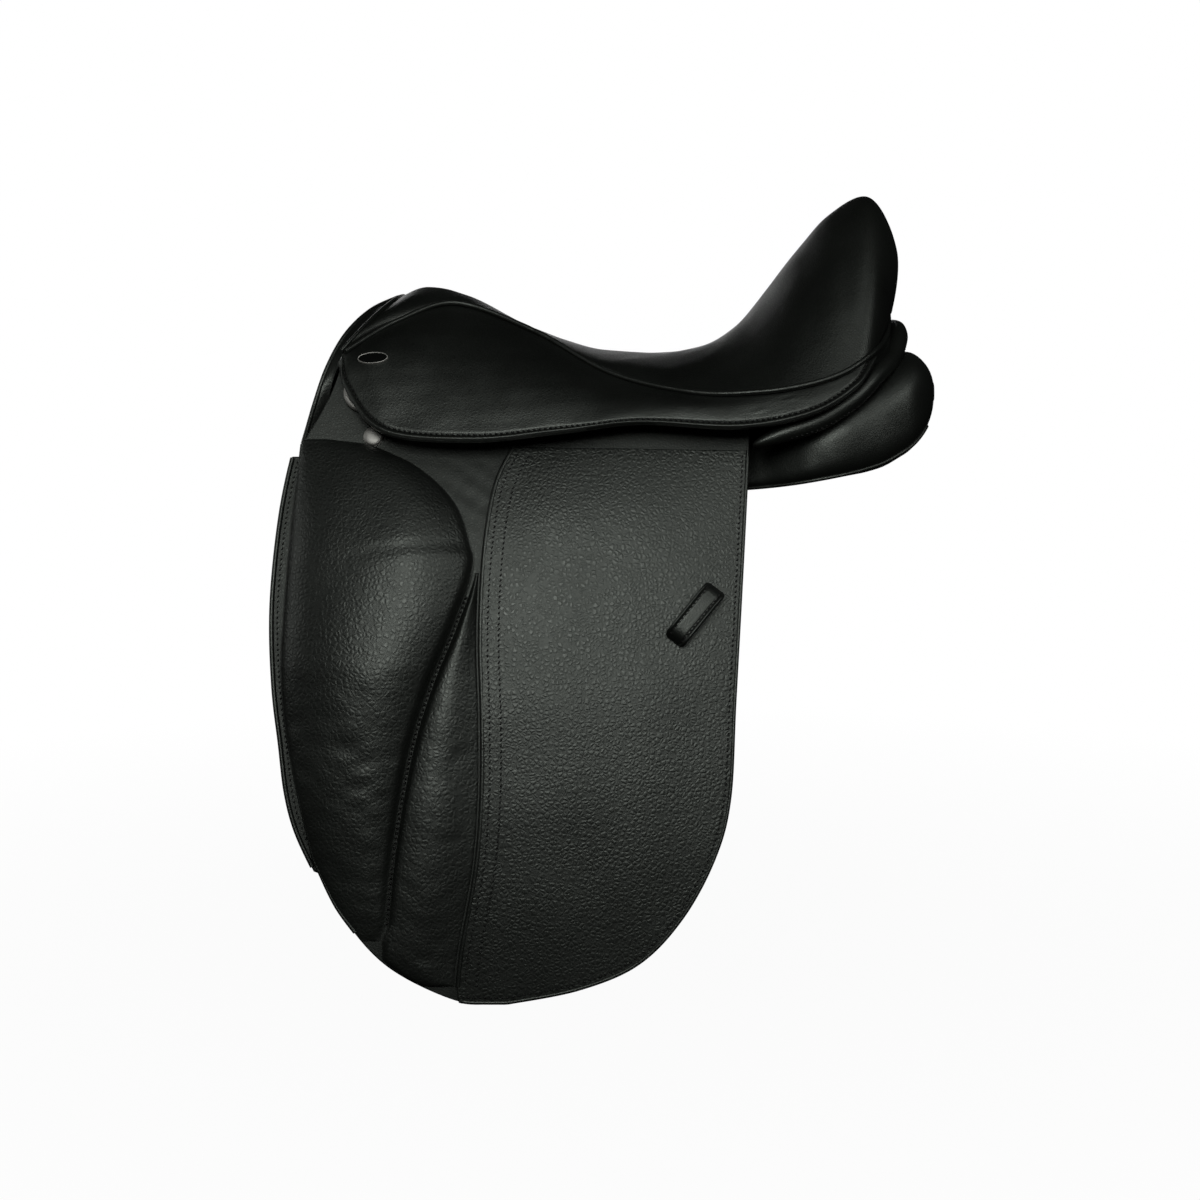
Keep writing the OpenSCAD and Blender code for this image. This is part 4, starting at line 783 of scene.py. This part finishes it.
def wedge_rise(u, x, z):
    """Height of the wedge over the flap, full at its front and thin behind, with small folds."""
    v = (WEDGE_TOP - z) / (WEDGE_TOP - WEDGE_LOW)
    full = WEDGE_DEPTH * np.cos(np.pi / 2 * u) ** 0.7 * (0.7 + 0.5 * np.sin(np.pi * u))
    full = full * np.maximum(4 * v * (1 - v), 0) ** 0.35
    place = in_plane(x, z)
    full = full * (1 - 0.7 * np.exp(-((x - wedge_front(z)) / 2.4) ** 2))
    folds = 0.35 * np.sin(z / 3.6 + 2 * ripple(place, 50, 46)) * ripple(place, 30, 47)
    return full + np.minimum(1, full / 6) * (0.5 * ripple(place, 60, 45) + folds)


SEAM_OUT, SEAM_PITCH = 2.6, 3.6
seam_z = np.linspace(-66, -296, 90)
seam_row = np.stack([wedge_front(seam_z) - SEAM_GAP / 2, seam_z], 1)
rim_z = np.linspace(BLOCK_TOP - 4, -300, 160)
for side, y in SIDES:
    block = pad(side + "_thigh_block_pad", BLOCK_TOP, BLOCK_LOW, front_at, seam_at, block_rise, y,
                grained_calf)
    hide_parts(side + "_thigh_block")
    wedge = pad(side + "_block_wedge_pad", WEDGE_TOP, WEDGE_LOW, wedge_front, wedge_back, wedge_rise, y,
                grained_calf, 120, 41)
    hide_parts(side + "_block_wedge")
    for soft in (block, wedge):
        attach(soft, side + "_flap")
    rim = tube(side + "_block_piping", mirrored(on_flap(front_at(rim_z) + 0.6, rim_z, 1.4), y), 1.5, calf, 10)
    row = flap_stitches(side + "_block_seam_stitches", seam_row, SEAM_OUT, y, SEAM_PITCH)
    for part in (rim, row):
        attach(part, side + "_flap")

# Overlays: grained leather sewn over the rear of each flap, with a folded front edge.
# Two rows of stitches follow the fold, one runs along the rear and lower edge, and a bead closes that edge.
OVERLAY_T, OVERLAY_OUT = 3, 3.3
# Printed cowhide: 3.3 mm pebbles between grooves painted dark as shade, waxed
pebbled = leather("black_pebbled_cowhide", "#050605", "#101210", 3.3, 0.20, 0.40, 0.2)
overlay_front = edge(OVERLAY_FRONT, 43, -340)
overlay_low = flap_front[flap_front[:, 0] > -101]
overlay_back = edge(FLAP_BACK, 42.5, -FLAP_DROP - 9)[::-1]
overlay_outline = np.concatenate([overlay_front, overlay_low, overlay_back])
hem = np.concatenate([overlay_low, overlay_back])


def fold_rise(x, z):
    """The leather is thicker along the folded front edge, and stands up between the rows of stitches."""
    d = x - curve_at(OVERLAY_FRONT, z)[..., 0]
    fold = 1.1 * np.exp(-((d - 2) / 3.2) ** 2) + 0.5 * np.exp(-((d - 10) / 3) ** 2)
    return fold + 0.35 * ripple(in_plane(x, z), 70, 51)


for side, y in SIDES:
    overlay, area = leaf(side + "_overlay_leaf", overlay_outline, OVERLAY_OUT, OVERLAY_T, pebbled, y, 3.2,
                         fold_rise)
    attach(overlay, side + "_flap")
    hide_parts(side + "_flap_overlay")
    rows = []
    for k, (line, distance) in enumerate(((overlay_front, 6), (overlay_front, 14), (hem, 5))):
        path = inset(resample(line, 3), distance)
        path = path[path[:, 1] < 38]
        lift = OVERLAY_OUT + fold_rise(*path.T) + 0.15
        rows.append(flap_stitches("%s_overlay_stitches_%d" % (side, k + 1), path, lift, y))
    lip = on_flap(*(resample(overlay_front, 3) + [0.8, 0]).T, OVERLAY_OUT - 0.4)
    rows.append(tube(side + "_overlay_fold", mirrored(lip, y), 1.9, calf, 10))
    bead = on_flap(*inset(resample(hem, 3), 1.4).T, OVERLAY_OUT - 0.6)
    rows.append(tube(side + "_flap_bead", mirrored(bead, y), 1.5, calf, 10))
    for part in rows:
        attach(part, side + "_flap")

# Keepers: bowed straps of doubled calf that hold the tail of the stirrup leather.
# A row of stitches runs along each raised side, and the ends are turned down onto the overlay.
KEEPER_X, KEEPER_Z, KEEPER_TILT, KEEPER_L, KEEPER_W, KEEPER_RISE, KEEPER_T = 69, -79, 52, 52, 17, 8, 2.4
KEEPER_END, KEEPER_ROW, KEEPER_RIM = 1.6, 5.2, 7.3


def bow(a):
    """Height of the keeper's face: nearly flat in the middle, and turned down at both ends."""
    share = np.abs(2 * a / KEEPER_L)
    return KEEPER_END + (KEEPER_RISE + KEEPER_T - KEEPER_END) * (1 - 0.15 * share ** 2 - 0.85 * share ** 7)


def on_keeper(a, b, out):
    """Points at a along the keeper and b across it, on the overlay, with the corners rounded off."""
    c, s = math.cos(math.radians(KEEPER_TILT)), math.sin(math.radians(KEEPER_TILT))
    b = b * (1 - 0.3 * np.abs(2 * a / KEEPER_L) ** 24)
    x, z = KEEPER_X + c * a - s * b, KEEPER_Z + 0.92 * (s * a + c * b)
    return on_flap(x, z, OVERLAY_OUT + SEAT_GAP + out)


a = np.linspace(-KEEPER_L / 2, KEEPER_L / 2, 61)[:, None]
b = np.linspace(-KEEPER_W / 2, KEEPER_W / 2, 41)[None]
rim = 0.9 * np.exp(-(np.abs(b) - KEEPER_RIM) ** 2) - 0.4 * np.exp(-((np.abs(b) - KEEPER_ROW) / 0.8) ** 2)
over = on_keeper(a + 0 * b, b + 0 * a, bow(a) + rim)
under = on_keeper(a + 0 * b, b + 0 * a, np.maximum(bow(a) - KEEPER_T - 0.4, 0) + 0 * b)
row_a = np.linspace(-24, 24, 40)
for side, y in SIDES:
    strap = sheet(side + "_keeper_strap", mirrored(over, y), mirrored(under, y), calf)
    soften(strap, 0.7)
    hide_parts(side + "_keeper")
    rows = []
    for k, row_b in enumerate((-KEEPER_ROW + 0 * row_a, KEEPER_ROW + 0 * row_a)):
        lift = bow(row_a) - 0.3
        face = on_keeper(row_a, row_b, lift)
        away = on_keeper(row_a, row_b, lift + 1) - face
        rows.append(stitches("%s_keeper_stitches_%d" % (side, k + 1), face, away, y, 3.5))
    for part in (strap, *rows):
        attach(part, side + "_flap")

# Metal fittings: domed nails, dees on leather chapes, and the sprung catches at the ends of the stirrup bars.
# All are plated; the dees are bent from wire, with the joint hidden in the chape.
# Nickel plate: grey and slightly warm, dulled by handling, with faint rub marks 5 mm across
nickel, tree = blank("dull_nickel_plate")
place = add(tree, "TexCoord")
rub = add(tree, "TexNoise", {"Scale": 1 / (5 * MM), "Detail": 5, "Roughness": 0.7},
          {"Vector": place.outputs["Object"]})
tone = add(tree, "ValToRGB", {}, {"Fac": rub.outputs["Fac"]})
tone.color_ramp.elements[0].color, tone.color_ramp.elements[1].color = linear("#90908b"), linear("#a6a6a0")
dull = add(tree, "MapRange", {"To Min": 0.5, "To Max": 0.66}, {"Value": rub.outputs["Fac"]})
plate = add(tree, "BsdfPrincipled", {"Metallic": 1},
            {"Base Color": tone.outputs["Color"], "Roughness": dull.outputs[0]})
add(tree, "OutputMaterial", {}, {"Surface": plate.outputs[0]})
dress(nickel, "left_bar_catch", "right_bar_catch")
dress(calf, "left_dee_chape", "right_dee_chape")

DEE_X, DEE_Z, DEE_TURN, DEE_OUT = -171, 86, 37, 4.4
DEE_BACK, DEE_R, DEE_WIRE, DEE_ELBOW = 6, 14, 1.8, 3
quarter = np.radians(np.linspace(0, 90, 9))
half = np.radians(np.linspace(90, 270, 41))
dee_wire = np.concatenate([
    [[0, 0]], np.stack([DEE_ELBOW * (np.cos(quarter) - 1), DEE_R + DEE_ELBOW * (np.sin(quarter) - 1)], 1),
    np.stack([DEE_R * np.cos(half) - DEE_BACK, DEE_R * np.sin(half)], 1),
    np.stack([DEE_ELBOW * (np.sin(quarter) - 1), DEE_ELBOW * (1 - np.cos(quarter)) - DEE_R], 1)])
STUD_X, STUD_Z, STUD_R, STUD_RISE, STUD_RIM = -169, 51, 7.5, 4, 0.7


def tangent(x, z, out):
    """Origin, run, up and outward ways of the flap's face at x and z."""
    lean = math.asin((z - FLAP_AXIS_Z) / FLAP_R)
    up = np.array([0, math.sin(lean), math.cos(lean)])
    away = np.array([0, -math.cos(lean), math.sin(lean)])
    return on_flap(x, z, out), np.array([1.0, 0, 0]), up, away


def lathe(name, profile, frame_at, y, material, sides=40):
    """Round piece from a profile of radius and height, on a face."""
    here, run, up, away = frame_at
    turn = np.linspace(0, 2 * np.pi, sides, endpoint=False)[None, :, None]
    r, h = np.asarray(profile, float).T
    points = here + r[:, None, None] * (np.cos(turn) * run + np.sin(turn) * up) + h[:, None, None] * away
    return piece(name, mirrored(points, y), ring_faces(len(r), sides), material, 40)


here, run, up, away = tangent(DEE_X, DEE_Z, DEE_OUT)
c, s = math.cos(math.radians(DEE_TURN)), math.sin(math.radians(DEE_TURN))
dee_path = here + dee_wire[:, :1] * (c * run + s * up) + dee_wire[:, 1:] * (c * up - s * run)
dee_thick = DEE_WIRE + 0.7 * np.clip((-DEE_BACK - dee_wire[:, 0]) / 6, 0, 1)
dome = np.radians(np.linspace(90, 8, 14))
stud_dome = np.stack([(STUD_R - 0.1) * np.sin(dome),
                      STUD_RIM + (STUD_RISE - STUD_RIM) * np.cos(dome) ** 0.6], 1)
stud_profile = np.concatenate([[[1.5, -2], [STUD_R - 0.8, -0.1], [STUD_R, 0.1], [STUD_R, STUD_RIM]],
                               stud_dome, [[0.3, STUD_RISE]]])
for side, y in SIDES:
    dee = tube(side + "_dee_wire", mirrored(dee_path, y), dee_thick, nickel, 20, ring=True)
    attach(dee, side + "_dee")
    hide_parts(side + "_dee")
    nail = lathe(side + "_domed_nail", stud_profile, tangent(STUD_X, STUD_Z, SEAT_GAP), y, nickel)
    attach(nail, "root")
    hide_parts(side + "_flap_stud")

# Skirts: shaped leaves of firm calf sewn into the seam under the welt, which cover the stirrup bars.
# Each lower edge is turned and stitched. The front lobe lifts along a slanted bend; its line is worked out
# below, but the leaf is built in one piece.
SKIRT_HALF, SKIRT_LOW_Z, SKIRT_T, SKIRT_SWELL, WELT_ROOM = 152, 42, 3.6, 16, 2.6
SKIRT_ROW, SKIRT_TURNED, LOBE_BEND = 5.2, 9, 12
# Lower edge: place and half width in percent, and height over the lowest level in mm
SKIRT_KNOTS = np.array([[-100.5, 75, 66], [-98, 82, 44], [-83, 94, 13], [-49, 99, 6.5], [-15, 99, 13],
                        [12, 98, 19.5], [42, 100, 16], [65, 99, 26], [79.5, 91, 46], [86, 78, 66]], float)
SKIRT_LAST = len(SKIRT_KNOTS) - 1
SKIRT_EDGE = np.stack([along_x(SKIRT_KNOTS[:, 0]), -SKIRT_HALF * SKIRT_KNOTS[:, 1] / 100,
                       SKIRT_LOW_Z + SKIRT_KNOTS[:, 2]], 1)


def skirt_face(t, d):
    """Points of the left skirt's outer face at rows t, d mm up from the lower edge."""
    low = spline(SKIRT_EDGE, t)
    rise = welt(t) - low
    free = np.linalg.norm(rise, axis=-1, keepdims=True) - WELT_ROOM
    s = np.clip(d / np.maximum(free, 0.1), 0, 1)
    bulge = SKIRT_SWELL * np.sin(np.pi * s) * np.tanh((free / 95) ** 2)
    return low + unit(rise) * free * s + np.array([0, -0.75, 0.66]) * bulge


def grid_normals(grid):
    """Outward ways of a grid whose rows run front to rear and whose columns run up."""
    return unit(np.cross(np.gradient(grid, axis=0), np.gradient(grid, axis=1)))


rows = np.linspace(0, SKIRT_LAST, 235)
near = np.array([0, 0.5, 1, 1.6, 2.3, 3, 3.7, 4.4, 5.1, 5.8, 6.6, 7.6, SKIRT_TURNED])
free = np.linalg.norm(welt(rows) - spline(SKIRT_EDGE, rows), axis=1) - WELT_ROOM
shares = np.linspace(0, 1, 42)[1:]
up_edge = np.concatenate([np.broadcast_to(near, (len(rows), len(near))),
                          SKIRT_TURNED + (free - SKIRT_TURNED)[:, None] * shares], 1)
plain = skirt_face(rows[:, None], up_edge[..., None])
out = grid_normals(plain)
turned = 1.5 * np.exp(-((up_edge - 2) / 1.6) ** 2) - 0.8 * np.exp(-((up_edge - SKIRT_ROW) / 0.9) ** 2)
pull = np.exp(-((rows[:, None] - 6.6) / 0.45) ** 2) * np.exp(-((up_edge - 14) / 9) ** 2)
wrinkle = np.sin((plain[..., 2] - 0.25 * plain[..., 0]) / 1.3 + 2.5 * ripple(plain, 30, 63))
wrinkle = 0.35 * pull * wrinkle * np.clip(ripple(plain, 16, 64), 0, 1)
soft = 0.5 * ripple(plain, 55, 61) + 0.2 * ripple(plain, 20, 62)
calm = np.clip(up_edge / 12, 0, 1) * np.clip((free[:, None] - up_edge) / 12, 0, 1)
outer = plain + (turned + wrinkle + soft * calm)[..., None] * out
inner = plain - SKIRT_T * out
row_at = np.linspace(0.12, SKIRT_LAST - 0.12, 260)
row_path = skirt_face(row_at, SKIRT_ROW)
row_out = skirt_face(row_at, SKIRT_ROW + 1.3) - skirt_face(row_at, SKIRT_ROW - 1.2)
row_out = unit(np.cross(np.gradient(row_path, axis=0), row_out))
lobe_ends = skirt_face(np.array([0.5, 4.6]), np.zeros((2, 1)))
lobe_axis, lobe_way = lobe_ends.mean(0), unit(lobe_ends[1] - lobe_ends[0])
lobe_down = skirt_face(np.array([2.6]), np.zeros((1, 1)))[0] - lobe_axis
lobe_down = unit(lobe_down - lobe_way * (lobe_down @ lobe_way))
for side, y in SIDES:
    skirt = sheet(side + "_skirt_leaf", mirrored(outer, y), mirrored(inner, y), calf)
    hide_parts(side + "_skirt", side + "_skirt_top")
    row = stitches(side + "_skirt_stitches", row_path - 0.1 * row_out, row_out, y)
    for part in (skirt, row):
        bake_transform(part)

# Buttons: a plain oval plate of black enamel in a nickel rim, on the front of each skirt.
# Each is held by two prongs clenched behind the leather.
BUTTON_L, BUTTON_H, BUTTON_ROW, BUTTON_SHARE = 23, 10.5, 1.3, 0.38
# Black enamel: hard, smooth and glossy, with a faint waviness 3 mm across
enamel, tree = blank("black_enamel")
place = add(tree, "TexCoord")
wave = add(tree, "TexNoise", {"Scale": 1 / (3 * MM)}, {"Vector": place.outputs["Object"]})
relief = add(tree, "Bump", {"Strength": 0.15, "Distance": 0.2 * MM}, {"Height": wave.outputs["Fac"]})
glaze = add(tree, "BsdfPrincipled", {"Base Color": linear("#070807"), "Roughness": 0.2},
            {"Normal": relief.outputs[0]})
add(tree, "OutputMaterial", {}, {"Surface": glaze.outputs[0]})
span = np.linalg.norm(welt(np.array(BUTTON_ROW)) - spline(SKIRT_EDGE, np.array(BUTTON_ROW))) - WELT_ROOM
beside = np.array([-1.0, 0, 1.0])
up_skirt = BUTTON_SHARE * span + beside[None, :, None].repeat(3, 0)
around = skirt_face(BUTTON_ROW + 0.04 * beside[:, None], up_skirt)
here = around[1, 1]
away = unit(np.cross(around[2, 1] - around[0, 1], around[1, 2] - around[1, 0]))
run = unit(np.array([1.0, 0, 0]) - away * away[0])
up = np.cross(away, run)
# Steps from the back of the rim over its top and in to the plate: how far inside the outline, and how high
steps = ((0, -0.6), (0, 0.8), (0.15, 1.1), (0.4, 1.2), (0.65, 1.1), (0.8, 0.8), (2.2, 0.9), (4.6, 0.95))
turn = np.linspace(0, 2 * np.pi, 64, endpoint=False)
RIM_STEPS = 5
oval = np.array([[here + (BUTTON_L / 2 - d) * math.cos(a) * run
                  + (BUTTON_H / 2 - d) * math.sin(a) * up + h * away for a in turn] for d, h in steps])
for side, y in SIDES:
    button = piece(side + "_oval_button", mirrored(oval, y), ring_faces(len(steps), len(turn)), nickel, 45)
    button.data.materials.append(enamel)
    for cell in button.data.polygons:
        cell.material_index = int(min(cell.vertices) >= RIM_STEPS * len(turn))
    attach(button, "root")
    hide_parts(side + "_skirt_button")

# Head facing: calf leather stretched over the front of the head, from the seat's edge round into the channel.
# A piping follows its outer edge, a thin sewn strip lies below it, and another piping edges the seat's front.
FACING_T = 2.5
# Lines from the seat's edge round into the channel, each from the left foot up to the middle
FACING = np.array([
    [[-214, -104, 46], [-206, -103, 76], [-197, -104, 104],
     [-181, -91, 127], [-166, -60, 147], [-155, 0, 158.5]],
    [[-225, -107, 46], [-215.5, -106, 77], [-206.5, -98, 104],
     [-195, -81, 129], [-180, -51, 148], [-164, 0, 161]],
    [[-226, -98, 46], [-217, -92, 74], [-209, -82, 100],
     [-198.5, -66, 122], [-186, -42, 140], [-173, 0, 150]],
    [[-222, -84, 46], [-215, -74, 72], [-208, -60, 94],
     [-201, -46, 110], [-193, -28, 122], [-184, 0, 128]],
    [[-212, -80, 48], [-206, -68, 72], [-201, -54, 92],
     [-195, -40, 106], [-188, -24, 116], [-181, 0, 120]]], float)


def facing_face(v, share):
    """Points at v of the way from the seat's edge to the channel, share from -1 (left foot) to 1."""
    along = 5 * (1 - np.abs(share))
    lines = np.stack([spline(line, along) for line in FACING], 0)
    found = np.stack([spline(lines[:, k], v) for k in range(len(along))], 1)
    return found * np.stack([np.ones_like(share), -np.sign(share - 1e-9), np.ones_like(share)], -1)[None]


share = np.linspace(-1, 1, 161)
v = np.linspace(0, 4, 49)
plain = facing_face(v, share)
out = unit(np.cross(np.gradient(plain, axis=1), np.gradient(plain, axis=0)))
out[:, 80] = unit(out[:, 79] * [1, 0, 1] + 1e-9)
outer = plain + 0.3 * ripple(plain, 45, 71)[..., None] * out
facing = sheet("head_facing_leather", outer, plain - FACING_T * out, calf)
edge_line = facing_face(np.array([0.85]), share)[0]
back_line = facing_face(np.array([2.2]), share)[0]
seat_front = seat_grid(np.array([0.0]), np.linspace(-88, 88, 90), 0)[0] + [-1, 0, 0.3]
trim = [tube("head_facing_piping", edge_line, 1.8, calf, 10),
        tube("head_facing_strip", back_line, 1.2, calf, 8),
        tube("seat_front_piping", seat_front, 1.4, calf, 10)]
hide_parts("head_facing")
for part in (facing, *trim):
    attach(part, "root")

# Cantle roll: a soft roll of calf round a cord of felt, sewn behind the cantle from side to side.
# It thins to its ends, a row of stitches holds its lower edge, and a strip of calf closes the seam above it.
ROLL_R, ROLL_TAPER, ROLL_FREE = 7, 45, 24
ROLL = np.array([[REAR_REACH - x, y, z] for x, y, z in (
    (126, -139, 45.5), (106, -138, 53), (77, -134, 63), (51, -126, 79), (33, -113, 96),
    (17, -88, 110), (7, -58, 126), (4, -28, 134), (3, 0, 136.5))], float)
half_roll = resample(spline(ROLL, np.linspace(0, 8, 200)), 2)
roll_path = np.concatenate([half_roll, mirrored(half_roll[-2::-1], -1)])
from_end = 2.0 * np.minimum(np.arange(len(roll_path)), np.arange(len(roll_path))[::-1])
grow = ROLL_R * np.sqrt(1 - (1 - np.clip(from_end / ROLL_TAPER + 0.01, 0, 1)) ** 2)
roll_thick = grow + 0.2 * ripple(roll_path, 30, 81) * grow / ROLL_R
roll = tube("cantle_roll_leather", roll_path, roll_thick, calf, 28)
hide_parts("cantle_roll")
way = unit(np.gradient(roll_path, axis=0))
low_way = unit(unit(roll_path * [1, 1, 0] - [60, 0, 0]) * 0.75 + np.array([0, 0, -0.66]))
low_way = unit(low_way - way * (low_way * way).sum(1, keepdims=True))
sewn = from_end > ROLL_FREE
row_path = roll_path + low_way * (grow - 0.1)[:, None]
row = stitches("cantle_roll_stitches", row_path[sewn], low_way[sewn], 1)
t = np.linspace(8.4, SEAT_LAST, 60)
high = welt(t) + 1.5 * draw_in(welt(t))
low = spline(ROLL, np.linspace(3.6, 8, 60))
low = low + 2 * draw_in(low)
high, low = (np.concatenate([line, mirrored(line[-2::-1], -1)]) for line in (high, low))
s = np.linspace(0, 1, 9)[None, :, None]
back = high[:, None] * (1 - s) + low[:, None] * s
inward = unit(np.stack([60 - back[..., 0], -back[..., 1], 0 * back[..., 0]], -1))
strip = sheet("cantle_back_strip", back, back + 2 * inward, calf)
for part in (roll, row, strip):
    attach(part, "root")
